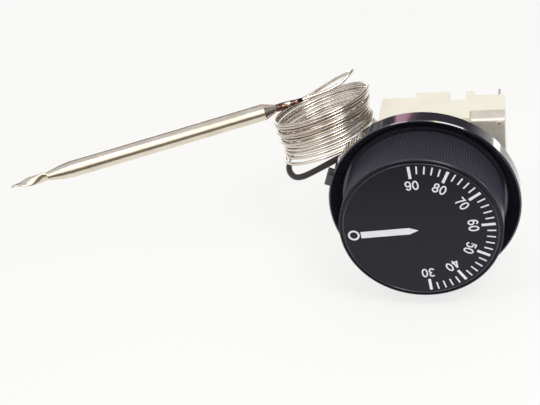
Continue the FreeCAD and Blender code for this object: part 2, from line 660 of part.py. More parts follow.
def tab_slots():
    """Slots in the rear wall that the terminal tabs pass through."""
    slots = []
    half = TAB_WIDTH / 2 + WINDOW_FIT
    y0 = CAVITY_REAR_Y - CUT_PAST
    y1 = BODY_REAR_Y + CUT_PAST
    for z in LINE_TABS:
        slots.append(block(LINE_TAB_X - WINDOW_FIT, LINE_TAB_X + STRIP_T + WINDOW_FIT, y0, y1,
                           z - half, z + half))
    for z in CHAMBERS:
        low = z - LOAD_PLATE_HEIGHT / 2
        slots.append(block(LOAD_TAB_X - WINDOW_FIT, LOAD_TAB_X + TAB_WIDTH + WINDOW_FIT, y0, y1,
                           low - WINDOW_FIT, low + STRIP_T + WINDOW_FIT))
    return slots


def partitions():
    """Inner walls between the three chambers, let into the outer walls."""
    left = BODY_LEFT_X + SIDE_WALL / 2
    right = BODY_RIGHT_X - SIDE_WALL / 2
    step_y = NOTCH_Y - SIDE_WALL / 2
    step_left = NOTCH_X[0] - SIDE_WALL / 2
    step_right = NOTCH_X[1] + SIDE_WALL / 2
    root_y = CAVITY_REAR_Y + PARTITION_ROOT
    corners = [(left, PARTITION_FRONT_Y), (right, PARTITION_FRONT_Y), (right, root_y), (step_right, root_y),
               (step_right, step_y), (step_left, step_y), (step_left, root_y), (left, root_y)]
    walls = []
    for side in (-1, 1):
        z = side * CHAMBER_PITCH / 2
        walls.append(plan_prism(corners, z - PARTITION / 2, z + PARTITION / 2))
    return walls


def make_housing():
    """Moulded housing with three chambers, a castellated rear edge and barriers."""
    post_x = NOTCH_X[1] + POST_WIDTH
    body = plan_prism([(BODY_LEFT_X, PLATE_REAR_Y), (BODY_RIGHT_X, PLATE_REAR_Y),
                       (BODY_RIGHT_X, BODY_REAR_Y - BODY_EDGE), (BODY_RIGHT_X - BODY_EDGE, BODY_REAR_Y),
                       (post_x, BODY_REAR_Y), (post_x, BARRIER_Y), (NOTCH_X[1], BARRIER_Y),
                       (NOTCH_X[1], NOTCH_Y), (NOTCH_X[0], NOTCH_Y), (NOTCH_X[0], BODY_REAR_Y),
                       (BODY_LEFT_X + BODY_EDGE, BODY_REAR_Y), (BODY_LEFT_X, BODY_REAR_Y - BODY_EDGE)],
                      -HALF_BODY, HALF_BODY)
    body = body.cut(housing_cavity())
    body = body.fuse(barrier_fins() + plunger_rails() + corner_posts() + partitions())
    right_pocket = lug_pocket(PLATE_RIGHT_X - LUG_WIDTH - LUG_GAP, BODY_RIGHT_X + CUT_PAST)
    left_pocket = lug_pocket(BODY_LEFT_X - CUT_PAST, PLATE_LEFT_X + LUG_WIDTH + LUG_GAP)
    body = body.cut([right_pocket, mirrored(right_pocket), mirrored(left_pocket)] + tab_slots())
    hole_end = PLATE_REAR_Y + CORNER_POST_DEPTH - RIVET_TIP_GAP
    front_y = PLATE_REAR_Y - CUT_PAST
    body = body.cut([rod(RIVET_R + RUNNING_FIT, front_y, hole_end, x, z) for x, z in rivet_places()])
    return body.removeSplitter()


def spigot_vector():
    """Direction in which the capillary leaves the capsule."""
    turn = math.radians(SPIGOT_ANGLE)
    return Vector(math.cos(turn), 0, math.sin(turn))


def make_capsule():
    """Two dished discs joined at the rim, with rings pressed in the front and a tube spigot."""
    rear = PLATE_FRONT_Y
    front = rear - CAPSULE_T
    mid = rear - CAPSULE_T / 2
    half_rim = CAPSULE_RIM / 2
    seat_r = CAPSULE_R * CAPSULE_SEAT_SHARE
    centre_r, ring_start = CAPSULE_CENTRE_R
    rim_r = CAPSULE_R - CAPSULE_RIM_WIDTH
    pitch = (rim_r - ring_start) / (2 * CAPSULE_RING_COUNT)
    dish_y = front + CAPSULE_CENTRE_DEPTH
    corners = [(0, dish_y), (centre_r, dish_y), (ring_start, front)]
    for index in range(CAPSULE_RING_COUNT):
        start = ring_start + 2 * pitch * index
        corners.append((start + pitch / 2, front + CAPSULE_RING_DEPTH))
        corners.append((start + pitch, front))
        corners.append((start + 1.5 * pitch, front))
    corners += [(rim_r, mid - half_rim), (CAPSULE_R, mid - half_rim), (CAPSULE_R, mid + half_rim),
                (rim_r, mid + half_rim), (seat_r, rear), (0, rear)]
    capsule = turned(corners)
    capsule.translate(Vector(CAPSULE_X, 0, 0))
    way = spigot_vector()
    centre = Vector(CAPSULE_X, mid, 0)
    inner = CAPSULE_R - SPIGOT_ROOT
    spigot = Part.makeCylinder(SPIGOT_R, SPIGOT_END - inner, centre + way * inner, way)
    return capsule.fuse(spigot).removeSplitter()


def make_transfer_pin():
    """Pin that carries the capsule's movement to the lever."""
    y0 = PLATE_FRONT_Y + TRANSFER_GAP
    y1 = LEVER_FRONT_Y - LEVER_TOUCH_GAP
    tip = Part.makeCone(TRANSFER_R, TRANSFER_R - TRANSFER_TIP, TRANSFER_TIP,
                        Vector(CAPSULE_X, y1 - TRANSFER_TIP, 0), Vector(0, 1, 0))
    return rod(TRANSFER_R, y0, y1 - TRANSFER_TIP, CAPSULE_X).fuse(tip).removeSplitter()


def make_nut():
    """Square nut that slides between the plate's tongues."""
    half = NUT_SIDE / 2
    nut = block(-half, half, NUT_FRONT_Y, NUT_FRONT_Y + NUT_T, -half, half)
    blank = rod(NUT_SIDE * NUT_ROUND_SHARE, NUT_FRONT_Y, NUT_FRONT_Y + NUT_T)
    return nut.common(blank).cut(rod(TAIL_R + RUNNING_FIT, NUT_FRONT_Y, NUT_FRONT_Y + NUT_T))


def make_spring():
    """Range spring on the nut's rear face, a helix of wire with flat sides."""
    mean_r = SPRING_OUTER_R - SPRING_WIRE / 2
    rise = SPRING_LENGTH - SPRING_WIRE
    helix = Part.makeHelix(rise / SPRING_TURNS, rise, mean_r)
    corners = []
    for index in range(SPRING_FLAT_COUNT):
        turn = 2 * math.pi * (index + 0.5) / SPRING_FLAT_COUNT
        corners.append(Vector(mean_r + SPRING_WIRE / 2 * math.cos(turn), 0, SPRING_WIRE / 2 * math.sin(turn)))
    section = Part.makePolygon(corners + [corners[0]])
    spring = Part.Wire(helix).makePipeShell([section], True, True)
    spring.rotate(Vector(0, 0, 0), Vector(1, 0, 0), -90)
    spring.translate(Vector(0, NUT_FRONT_Y + NUT_T + SPRING_WIRE / 2 + SPRING_SEAT_GAP, 0))
    return spring


def is_upright_corner(edge):
    """Whether an edge runs straight through the lever's thickness."""
    box = edge.BoundBox
    return abs(box.YLength - LEVER_T) < EDGE_MATCH and max(box.XLength, box.ZLength) < EDGE_MATCH


def make_lever():
    """Rocker lever with a rolled eye and a round pip that centres the spring."""
    half = LEVER_WIDTH / 2
    x0, x1 = LEVER_X
    lever = block(x0, x1, LEVER_FRONT_Y, LEVER_REAR_Y, -half, half)
    eye = cross_rod(LEVER_EYE_R, PIVOT_X, PIVOT_Y, -half, half)
    lever = lever.fuse(eye).cut(cross_rod(PIVOT_R + RUNNING_FIT, PIVOT_X, PIVOT_Y, -half, half))
    corners = [edge for edge in lever.Edges if is_upright_corner(edge)]
    lever = lever.makeFillet(LEVER_TIP, corners)
    return lever.fuse(rod(PIP_R, LEVER_FRONT_Y - PIP_LENGTH, LEVER_FRONT_Y)).removeSplitter()


def make_pivot_pin():
    """Pin through the ears and the lever's eye."""
    end = LEVER_WIDTH / 2 + EAR_GAP + EAR_T + PIN_PROUD
    return cross_rod(PIVOT_R, PIVOT_X, PIVOT_Y, -end, end)


def make_trim_screw():
    """Slotted screw that limits the lever's travel."""
    head_y = PLATE_FRONT_Y - TRIM_HEAD
    screw = rod(TRIM_HEAD_R, head_y, PLATE_FRONT_Y, TRIM_SCREW_X)
    screw = screw.fuse(rod(TRIM_SCREW_R, PLATE_FRONT_Y, LEVER_FRONT_Y - TRIM_GAP, TRIM_SCREW_X))
    slot = block(TRIM_SCREW_X - TRIM_HEAD_R, TRIM_SCREW_X + TRIM_HEAD_R, head_y, head_y + TRIM_SLOT,
                 -TRIM_SLOT / 2, TRIM_SLOT / 2)
    return screw.cut(slot).removeSplitter()


def make_plunger():
    """Moulded bar with a nose on the lever and one finger for each contact arm."""
    half = PLUNGER_WIDTH / 2
    span = PLUNGER_SPAN / 2
    bar = block(PLUNGER_X - half, PLUNGER_X + half, PLUNGER_FRONT_Y, PLUNGER_REAR_Y, -span, span)
    nose_y = LEVER_REAR_Y + NOSE_GAP + NOSE_R
    pieces = [cross_rod(NOSE_R, PLUNGER_X, nose_y, -FINGER_WIDTH / 2, FINGER_WIDTH / 2)]
    tip_y = ARM_FRONT_Y - FINGER_GAP - FINGER_R
    for z in CHAMBERS:
        low = z - FINGER_WIDTH / 2
        high = z + FINGER_WIDTH / 2
        pieces.append(block(PLUNGER_X - FINGER_R, PLUNGER_X + FINGER_R, PLUNGER_REAR_Y, tip_y, low, high))
        pieces.append(cross_rod(FINGER_R, PLUNGER_X, tip_y, low, high))
    return bar.fuse(pieces).removeSplitter()


def make_contact_arm(z):
    """Springy blade that rests on the load terminal and carries the moving contact."""
    half = ARM_WIDTH / 2
    x0, x1 = ARM_X
    neck = half * ARM_NECK_SHARE
    wide_x, neck_x = (CONTACT_X - back for back in ARM_TAPER)
    return plan_from_front([(x0, -half), (wide_x, -half), (neck_x, -neck), (x1, -neck), (x1, neck),
                            (neck_x, neck), (wide_x, half), (x0, half)], ARM_FRONT_Y, ARM_T, z)


def plan_from_front(points, y0, thick, z):
    """An (x, z) outline of sheet metal facing the front."""
    face = outline(points, lambda x, height: Vector(x, y0, z + height))
    return face.extrude(Vector(0, thick, 0))


def make_contact(y_face, z):
    """Silver contact button."""
    return rod(CONTACT_R, y_face, y_face + CONTACT_T, CONTACT_X, z)


def tab_blade_across(x0, y0, y1, z):
    """Upright tab, its faces towards left and right, tapered at the tip."""
    half = TAB_WIDTH / 2
    return side_prism([(y0, z - half), (y1 - TAB_TIP, z - half), (y1, z - half + TAB_TIP),
                       (y1, z + half - TAB_TIP), (y1 - TAB_TIP, z + half), (y0, z + half)], x0, x0 + STRIP_T)


def make_line_terminal(z_contact, z_tab):
    """Shelf for the fixed contact that turns back into a push-on tab."""
    z0 = min(z_contact - CONTACT_R, z_tab - TAB_WIDTH / 2)
    z1 = max(z_contact + CONTACT_R, z_tab + TAB_WIDTH / 2)
    shelf = block(LINE_SHELF_X, LINE_TAB_X + STRIP_T, SHELF_Y - STRIP_T, SHELF_Y, z0, z1)
    tab = tab_blade_across(LINE_TAB_X, SHELF_Y - STRIP_T, LINE_TAB_Y, z_tab)
    return shelf.fuse(tab).removeSplitter()


def make_load_terminal(z):
    """Plate behind the arm's root that turns back into a push-on tab."""
    rear_y = ARM_FRONT_Y + ARM_T
    half = LOAD_PLATE_HEIGHT / 2
    plate = block(LOAD_PLATE_X, ARM_HINGE_X, rear_y, rear_y + STRIP_T, z - half, z + half)
    x1 = LOAD_TAB_X + TAB_WIDTH
    tip_y = LOAD_TAB_Y - TAB_TIP
    tab = plan_prism([(LOAD_TAB_X, rear_y), (x1, rear_y), (x1, tip_y), (x1 - TAB_TIP, LOAD_TAB_Y),
                      (LOAD_TAB_X + TAB_TIP, LOAD_TAB_Y), (LOAD_TAB_X, tip_y)],
                     z - half, z - half + STRIP_T)
    return plate.fuse(tab).removeSplitter()


def bent_path(points):
    """Straight runs joined by tangent arcs; returns the edges in order and the arc radii."""
    edges = []
    radii = []
    last = points[0]
    for before, here, after in zip(points, points[1:], points[2:]):
        into = (here - before).normalize()
        out = (after - here).normalize()
        reach = BEND_SHARE * min(here.distanceToPoint(before), here.distanceToPoint(after))
        half_turn = into.getAngle(out) / 2
        radius = reach / math.tan(half_turn)
        inward = (out - into).normalize()
        start = here - into * reach
        end = here + out * reach
        middle = here + inward * (radius / math.cos(half_turn) - radius)
        edges.append(Part.LineSegment(last, start).toShape())
        edges.append(Part.Arc(start, middle, end).toShape())
        radii.append(round(radius, 1))
        last = end
    edges.append(Part.LineSegment(last, points[-1]).toShape())
    print("bend radii", radii)
    return edges


def tube_along(name, edges, radius):
    """A round solid along a path, with its volume set against section times length."""
    path = Part.Wire(edges)
    start = edges[0].valueAt(edges[0].FirstParameter)
    way = edges[0].tangentAt(edges[0].FirstParameter)
    section = Part.Wire(Part.Circle(start, way, radius).toShape())
    tube = path.makePipeShell([section], True, False)
    ideal = math.pi * radius ** 2 * path.Length
    print(name, "length", round(path.Length, 1), "volume", round(tube.Volume / ideal, 4))
    return tube


def lead_path():
    """Path of the capillary from the capsule's spigot to the coil."""
    centre = Vector(CAPSULE_X, PLATE_FRONT_Y - CAPSULE_T / 2, 0)
    way = spigot_vector()
    points = [centre + way * SPIGOT_END, centre + way * (SPIGOT_END + SPIGOT_RUN)]
    return bent_path(points + [Vector(*point) for point in LEAD_ROUTE])


def make_sleeve(path):
    """Dark sleeve over the capillary, round some of its bends and the runs beside them."""
    first = 2 * SLEEVE_START_COUNT
    covered = path[first:first + 2 * SLEEVE_BEND_COUNT + 1]
    outer = tube_along("sleeve", covered, SLEEVE_R)
    return outer.cut(tube_along("sleeve bore", covered, TUBE_R + SLEEVE_FIT))


def make_coil():
    """Outer shape of the wound capillary, a tilted ring."""
    way = Vector(COIL_AXIS).normalize()
    foot = COIL_FOOT - way * TUBE_R
    height = COIL_HEIGHT + 2 * TUBE_R
    half = COIL_WALL / 2
    outer = Part.makeCone(COIL_R[0] + half, COIL_R[1] + half, height, foot, way)
    return outer.cut(Part.makeCone(COIL_R[0] - half, COIL_R[1] - half, height, foot, way))


def ellipse_wire(along, major, minor, turn):
    """An oval or round section of the bulb's ends, at a distance along it."""
    if major == minor:
        return Part.Wire(Part.Circle(Vector(0, 0, along), Vector(0, 0, 1), major).toShape())
    shape = Part.Ellipse(Vector(0, 0, along), major, minor).toShape()
    shape.rotate(Vector(0, 0, along), Vector(0, 0, 1), turn)
    return Part.Wire(shape)


def make_bulb():
    """Sensing bulb: crimped inlet, tapered shoulder, long cylinder, neck and twisted flat tail."""
    taper0, taper1 = BULB_TAPER
    shoulder_r, shoulder = BULB_SHOULDER
    profile = [(0, taper0), (BULB_CRIMP_R, taper0), (BULB_R, taper1), (BULB_R, BULB_CYLINDER_END),
               (shoulder_r, BULB_CYLINDER_END + shoulder), (BULB_NECK_R, BULB_NECK), (0, BULB_NECK)]
    face = outline(profile, lambda r, along: Vector(r, 0, along))
    body = face.revolve(Vector(0, 0, 0), Vector(0, 0, 1), 360)
    crimp_end = BULB_CRIMP_R - BULB_STEP
    crimp = Part.makeLoft([ellipse_wire(0, *BULB_CRIMP, 0),
                           ellipse_wire(taper0 * BULB_CRIMP_SHARE, *BULB_CRIMP, 0),
                           ellipse_wire(taper0 + BULB_ROOT, crimp_end, crimp_end, 0)], True)
    neck_r = BULB_NECK_R - BULB_STEP
    sections = [ellipse_wire(BULB_NECK - BULB_ROOT, neck_r, neck_r, 0)]
    step = (BULB_TAIL_END - BULB_NECK) / len(BULB_TAIL)
    for index, (major, minor, turn) in enumerate(BULB_TAIL):
        sections.append(ellipse_wire(BULB_NECK + step * (index + 1), major, minor, turn))
    tail = Part.makeLoft(sections, True)
    bulb = body.fuse([crimp, tail]).removeSplitter()
    bulb.Placement = FreeCAD.Placement(BULB_START, FreeCAD.Rotation(Vector(0, 0, 1), BULB_AXIS))
    return bulb


def save_switch():
    """Terminals, arms and contacts of the three poles."""
    for index, (z, z_tab) in enumerate(zip(CHAMBERS, LINE_TABS), start=1):
        save(f"line_terminal_{index}", make_line_terminal(z, z_tab))
        save(f"load_terminal_{index}", make_load_terminal(z))
        save(f"contact_arm_{index}", make_contact_arm(z))
        save(f"moving_contact_{index}", make_contact(ARM_FRONT_Y - CONTACT_T, z))
    save("fixed_contacts", *[make_contact(SHELF_Y, z) for z in CHAMBERS])


def main():
    """Write every sub-part."""
    save("knob", make_knob())
    save("knob_clip", make_knob_clip())
    save("spindle", make_spindle())
    save("retaining_clip", make_retaining_clip())
    save("bush", make_bush())
    save("stop_pin", make_stop_pin())
    save("bezel", make_bezel())
    save("mounting_bracket", make_bracket())
    save("chassis_plate", make_plate())
    save("plate_rivets", *make_rivets())
    save("switch_housing", make_housing())
    save("diaphragm_capsule", make_capsule())
    save("transfer_pin", make_transfer_pin())
    save("adjusting_nut", make_nut())
    save("range_spring", make_spring())
    save("rocker_lever", make_lever())
    save("pivot_pin", make_pivot_pin())
    save("trim_screw", make_trim_screw())
    save("plunger_bar", make_plunger())
    save_switch()
    lead = lead_path()
    save("capillary_lead", tube_along("lead", lead, TUBE_R))
    save("capillary_sleeve", make_sleeve(lead))
    save("capillary_coil", make_coil())
    loop = bent_path([Vector(*point) for point in LOOP_ROUTE])
    save("capillary_loop", tube_along("loop", loop, TUBE_R))
    save("sensing_bulb", make_bulb())


main()
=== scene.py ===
import json
import math

import bpy
from mathutils import Matrix, Vector


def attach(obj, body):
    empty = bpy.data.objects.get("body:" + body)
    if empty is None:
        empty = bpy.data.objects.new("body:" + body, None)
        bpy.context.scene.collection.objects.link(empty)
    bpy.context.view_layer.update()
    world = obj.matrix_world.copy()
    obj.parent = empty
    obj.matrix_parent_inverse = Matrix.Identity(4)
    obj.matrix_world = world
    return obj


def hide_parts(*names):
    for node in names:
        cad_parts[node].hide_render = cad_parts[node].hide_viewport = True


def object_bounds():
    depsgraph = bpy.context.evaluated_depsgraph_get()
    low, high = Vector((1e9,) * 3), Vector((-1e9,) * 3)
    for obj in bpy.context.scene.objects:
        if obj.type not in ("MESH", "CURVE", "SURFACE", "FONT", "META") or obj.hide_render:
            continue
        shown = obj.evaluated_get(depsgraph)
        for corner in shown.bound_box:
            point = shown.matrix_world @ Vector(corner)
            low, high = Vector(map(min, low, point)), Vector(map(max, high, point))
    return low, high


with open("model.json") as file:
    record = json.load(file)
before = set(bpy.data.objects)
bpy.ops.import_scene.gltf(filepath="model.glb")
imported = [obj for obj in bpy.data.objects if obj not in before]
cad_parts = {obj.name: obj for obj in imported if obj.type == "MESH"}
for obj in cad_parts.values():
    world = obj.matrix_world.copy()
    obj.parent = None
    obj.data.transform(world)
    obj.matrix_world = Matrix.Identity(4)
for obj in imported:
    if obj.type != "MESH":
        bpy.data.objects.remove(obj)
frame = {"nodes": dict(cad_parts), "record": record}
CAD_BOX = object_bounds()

# Sizes are in millimetres and angles in degrees, where a comment doesn't say otherwise. Blender's
# own unit is the metre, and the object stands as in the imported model: +X right, +Y back, +Z up.
MM = 0.001

# Camera, from a fit to the dial's marks
VIEW_AZIMUTH = 15.96
VIEW_ELEVATION = 31.71
VIEW_ROLL = -9.54
VIEW_TARGET = (-57.14, 0.0, -1.82)
VIEW_DISTANCE = 400.4
LENS = 72.0
SENSOR = 36.0
CLIP_START = 10.0

# White sheet that the object stands on. Reflections see it turn into a dark table in front, between
# two places in Y. Its glow hides its grey from the camera, and grows to full between two distances.
BACKDROP = (0.978, 0.974, 0.966)
SHEET_WHITE = (0.9, 0.885, 0.85)
SHEET_ROUGHNESS = 0.6
SHEET_GLOSS = 0.1
SHEET_HALF = 3000.0
SHEET_EDGE = (-130.0, -90.0)
SHEET_GLOW = 0.78
SHEET_FADE = (200.0, 1000.0)
TABLE_DARK = (0.13, 0.11, 0.085)

# Plain light on the object, and the room that gloss and metal mirror: its colours by the angle from
# the front horizon up and over, and a darker side, between two cosines from its direction
PLAIN_LIGHT = 0.76
ROOM_STRENGTH = 1.5
ROOM_COLORS = [
    (-180, (0.4, 0.4, 0.4)),
    (-4, (0.14, 0.12, 0.10)),
    (8, (0.20, 0.17, 0.14)),
    (18, (1.0, 1.0, 0.97)),
    (56, (1.0, 1.0, 0.99)),
    (66, (0.50, 0.51, 0.55)),
    (138, (0.46, 0.46, 0.49)),
    (149, (0.075, 0.06, 0.07)),
    (162, (0.075, 0.06, 0.07)),
    (174, (0.5, 0.49, 0.48)),
    (180, (0.6, 0.59, 0.57)),
]
SHADE_WAY = (0.93, 0.05, 0.25)
SHADE_COSINES = (0.55, 0.82)
SHADE_LEVEL = 0.15

# Lamps: name, direction from the origin, width and height, brightness as a multiple of white, colour.
# The first list lights the object. The second only shows as mirror images.
LAMP_DISTANCE = 450.0
LAMPS = [
    ("ceiling_lamp", (0.37, -0.50, 0.81), (160, 140), 11.0, (1, 1, 1)),
    ("side_window", (-0.40, -0.50, 0.78), (90, 160), 5.0, (1, 1, 1)),
]
MIRRORED_LAMPS = [
    ("rose_lamp", (-0.208, 0.874, 0.44), (105, 70), 1.9, (1.0, 0.55, 0.70)),
    ("warm_lamp", (0.13, -0.50, 0.81), (60, 60), 9.0, (1.0, 0.82, 0.40)),
    ("low_window_right", (0.49, 0.863, -0.011), (200, 48), 3.0, (1, 1, 1)),
    ("low_window_left", (-0.50, 0.86, -0.011), (200, 48), 2.6, (1, 1, 1)),
]

# Surface detail: noise scales in cycles per metre, and a micron in metres for the depth of bumps
MICRON = 0.000001
FINE_GRAIN = 9000.0
AO_SAMPLES = 8
MASK_DARK = (0.0, 0.0, 0.0)
MASK_LIGHT = (1.0, 1.0, 1.0)

# Black plastics: colours, tint of their gloss, and how far haze moves their roughness down and up
BEZEL_BLACK = (0.011, 0.0103, 0.0165)
LEVER_BROWN = (0.16, 0.07, 0.035)
BLACK_GLOSS_TINT = (0.93, 0.90, 1.0, 1.0)
HAZE_SCALE = 60.0
HAZE_SPREAD = (-0.05, 0.08)

# Knob: its face, the depths in front of it and behind it at which the side's colour starts and is
# full, and the fluted side's painted shade: its darkest and palest colour, and the reach of a wall that
# shades it
DIAL_Y = -22.0
DIAL_BLACK = (0.0048, 0.0044, 0.0088)
FACE_MARGIN = 0.05
KNOB_EDGE_DEPTH = 0.7
FLUTE_SHADE_DARKEST = (0.004, 0.0038, 0.006)
FLUTE_SHADE_PALEST = (0.046, 0.044, 0.060)
FLUTE_SHADE_REACH = 0.5

# Lines in a surface, in cycles per metre along three axes turned from X, Y and Z: scratches on the
# dial, and draw lines along the bulb
SCRATCH_LINES = (40.0, 40.0, 3000.0)
SCRATCH_TURN = (0.0, 6.0, 0.0)
DRAW_LINES = (60.0, 2600.0, 2600.0)
DRAW_TURN = (0.0, 6.0, 19.7)

# Tones of cloudy surfaces, from the darkest to the palest, and painted shade near other turns of the wire
CREAM_TONES = ((0.80, 0.77, 0.635), (0.845, 0.815, 0.69))
NICKEL_TONES = ((0.70, 0.62, 0.51), (0.79, 0.72, 0.61))
CAPILLARY_TONES = ((0.60, 0.52, 0.44), (0.84, 0.78, 0.69))
HEAT_TONES = ((0.06, 0.028, 0.024), (0.20, 0.115, 0.09), (0.62, 0.52, 0.40))
TURN_GAP_SHADE = (0.09, 0.06, 0.05)
TURN_GAP_SHADE_REACH = 1.6

# Steel: share of its colour in its darker patches, and how far its grain moves its roughness
STEEL_DARKER = 0.88
STEEL_SPREAD = (-0.07, 0.1)

# Inks, rubber and brass in one colour
INK_WHITE = (0.80, 0.78, 0.85)
SLEEVE_BROWN = (0.022, 0.017, 0.017)
BRASS_YELLOW = (0.74, 0.58, 0.30)

# Dial print, with angles counter-clockwise from +X as seen from the front
PRINT_PROUD = 0.03
SCALE_ANGLE = 5.2
DEGREES_PER_UNIT = 3.0
SCALE_MIDDLE = 60
SCALE_RANGE = (30, 90)
TICK_EVERY = 2
LONG_TICK_EVERY = 10
TICK_OUTER = 25.4
TICK_INNER = {"short": 22.45, "long": 20.72}
TICK_WIDTH = {"short": 0.52, "long": 1.0}
NUMBER_R = 18.05
NUMBER_ANGLES = {90: 95.1, 80: 65.6, 70: 36.1, 60: 5.6, 50: -24.5, 40: -55.6, 30: -84.7}
POINTER_ANGLE = 185.0
POINTER_WIDTH = 2.6
POINTER_OUTER = 20.6
POINTER_SHOULDER = 3.7
POINTER_TIP = 0.5
ZERO_R = 23.08
ZERO_ANGLE = -175.3
ZERO_RADII = (2.05, 1.35)
ZERO_STEPS = 64
BEAD_R = 26.4
BEAD_THICK_R = 0.18
BEAD_STEPS = 180
BEAD_SIDES = 10

# Digits: half width and half height, stroke width, distance between the two digits of a number, and
# how much prouder each stroke is than the last, so that crossing strokes don't share a face
DIGIT_HALF = (0.83, 1.56)
DIGIT_STROKE = 0.53
DIGIT_PITCH = 2.46
STROKE_STEP = 0.004
ARC_STEP = 12.0
ARC_STEPS_LEAST = 4
MITER_LEAST = 0.5
SAME_PLACE = 0.000001

# Capillary: its tube, its spigot on the capsule, and its route to the coil and from there to the
# bulb, whose points follow the model's own route and are moved where the coil is wound
TUBE_R = 0.6
CURVE_STEPS = 6
BEVEL_STEPS = 4
CAPSULE_CENTRE = (16.0, 10.0, 0.0)
SPIGOT_ANGLE = 125.0
SPIGOT_END = 13.0
SPIGOT_RUN = 4.6
LEAD_ROUTE = [
    (-1.5, 9.3, 14.9), (-14.0, 7.4, 15.1), (-26.6, 6.7, 14.9), (-38.0, 6.0, 8.7), (-46.9, 6.0, 4.2),
    (-51.4, 12.0, 3.9), (-52.2, 18.9, 4.6),
]
LOOP_ROUTE = [
    (-33.1, 33.0, 31.9), (-26.1, 30.7, 35.4), (-24.3, 21.2, 40.8), (-29.8, 17.0, 36.0), (-41.6, 9.4, 35.5),
    (-48.24, 6.76, 34.54),
]

# Coil, from its lowest turn up: place, axis, height, first and last radius, and control points a turn
COIL_FOOT = Vector((-35.0, 20.0, 12.4))
COIL_AXIS = Vector((-0.30, 0.17, 0.94)).normalized()
COIL_HEIGHT = 15.5
COIL_R = (17.4, 16.6)
COIL_START = 158.0
COIL_TURNS = 12.15
COIL_STEPS = 16

# Unevenness of the hand-wound turns: size, and radians by which it shifts from turn to turn
COIL_SWELL = (0.32, 2.4)
COIL_OVAL = (0.25, 1.9)
COIL_TILT = (0.12, 2.1)

# Upper turns lean to the right, from a turn on. Lower turns hang loose and bulge on one side.
LEAN_FROM = 6.0
LEAN_MOST = 1.7
LEAN_POWER = 0.7
LOOSE_TURNS = 2.6
LOOSE_RISE = 2.0
LOOSE_SAG = 1.3
LOOSE_BULGE = 2.2
LOOSE_SIDE = -150.0

# Sleeve and brazed neck: each a tube round the capillary. The neck starts inside the bulb, whose tip
# lies in BULB_WAY.
TUBE_SIDES = 24
SLEEVE_R = 1.15
SLEEVE_ENDS = [(-15.0, 7.3, 15.1), (-52.0, 17.0, 4.3)]
SLEEVE_WAVE = (0.02, 0.9)
NECK_LENGTH = 9.0
NECK_OVERLAP = 2.6
NECK_RADII = (1.42, 0.75)
NECK_TAPER = 2.0
NECK_POWER = 1.5
BULB_WAY = (-0.936, -0.3345, -0.104)


def mm(*values):
    """A point given in millimetres."""
    return Vector(values) * MM


def link(obj):
    """Put an object in the scene."""
    bpy.context.collection.objects.link(obj)
    return obj


def mesh_object(name, verts, faces, material, smooth=True):
    """A mesh object from points in metres."""
    mesh = bpy.data.meshes.new(name)
    mesh.from_pydata([tuple(v) for v in verts], [], faces)
    mesh.update()
    for polygon in mesh.polygons:
        polygon.use_smooth = smooth
    mesh.materials.append(material)
    return link(bpy.data.objects.new(name, mesh))


def print_piece(name, verts, faces):
    """A piece of the dial's print, which turns with the knob."""
    obj = mesh_object(name, verts, faces, MATERIALS["print_white"], smooth=False)
    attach(obj, "knob_body")


# Materials


class NodeTree:
    """A material's or a world's nodes. Each call adds one, and takes numbers, colours or other outputs."""

    def __init__(self, owner):
        owner.use_nodes = True
        self.nodes = owner.node_tree.nodes
        self.links = owner.node_tree.links

    def feed(self, socket, value):
        """Set a socket, or link it where the value is another node's output."""
        if isinstance(value, bpy.types.NodeSocket):
            self.links.new(value, socket)
        else:
            socket.default_value = value

    def add(self, kind, **settings):
        """A new node of a kind."""
        node = self.nodes.new("ShaderNode" + kind)
        for name, value in settings.items():
            setattr(node, name, value)
        return node

    def calculate(self, operation, first, second):
        """Two numbers joined by an operation."""
        node = self.add("Math", operation=operation)
        self.feed(node.inputs[0], first)
        self.feed(node.inputs[1], second)
        return node.outputs["Value"]

    def measure(self, operation, first, second=(0, 0, 0)):
        """A number worked out from one or two vectors."""
        node = self.add("VectorMath", operation=operation)
        self.feed(node.inputs[0], first)
        self.feed(node.inputs[1], second)
        return node.outputs["Value"]

    def split(self, vector):
        """The X, Y and Z of a vector, by letter."""
        node = self.add("SeparateXYZ")
        self.feed(node.inputs[0], vector)
        return node.outputs

    def remap(self, value, start, end, low=0.0, high=1.0, curve="LINEAR"):
        """A number moved from one range to another, and held at its ends."""
        node = self.add("MapRange", interpolation_type=curve)
        self.feed(node.inputs["Value"], value)
        node.inputs["From Min"].default_value = start
        node.inputs["From Max"].default_value = end
        node.inputs["To Min"].default_value = low
        node.inputs["To Max"].default_value = high
        return node.outputs["Result"]

    def ramp(self, value, stops):
        """A colour from a number, by (position, colour) stops."""
        node = self.add("ValToRGB")
        elements = node.color_ramp.elements
        while len(elements) < len(stops):
            elements.new(0.5)
        for element, (position, color) in zip(elements, stops):
            element.position = position
            element.color = (*color, 1)
        self.feed(node.inputs["Fac"], value)
        return node.outputs["Color"]

    def mix(self, kind, share, first, second):
        """Two colours mixed by a share."""
        node = self.add("Mix", data_type="RGBA", blend_type=kind)
        colors = [socket for socket in node.inputs if socket.type == "RGBA"]
        self.feed(node.inputs["Factor"], share)
        self.feed(colors[0], first)
        self.feed(colors[1], second)
        return next(socket for socket in node.outputs if socket.type == "RGBA")

    def glow(self, kind, color, strength=1.0):
        """Light from a surface or the world."""
        node = self.add(kind)
        self.feed(node.inputs["Color"], color)
        self.feed(node.inputs["Strength"], strength)
        return node.outputs[0]

    def mix_shaders(self, share, first, second):
        """Two shaders mixed by a share."""
        node = self.add("MixShader")
        for socket, value in zip(node.inputs, (share, first, second)):
            self.links.new(value, socket)
        return node.outputs[0]


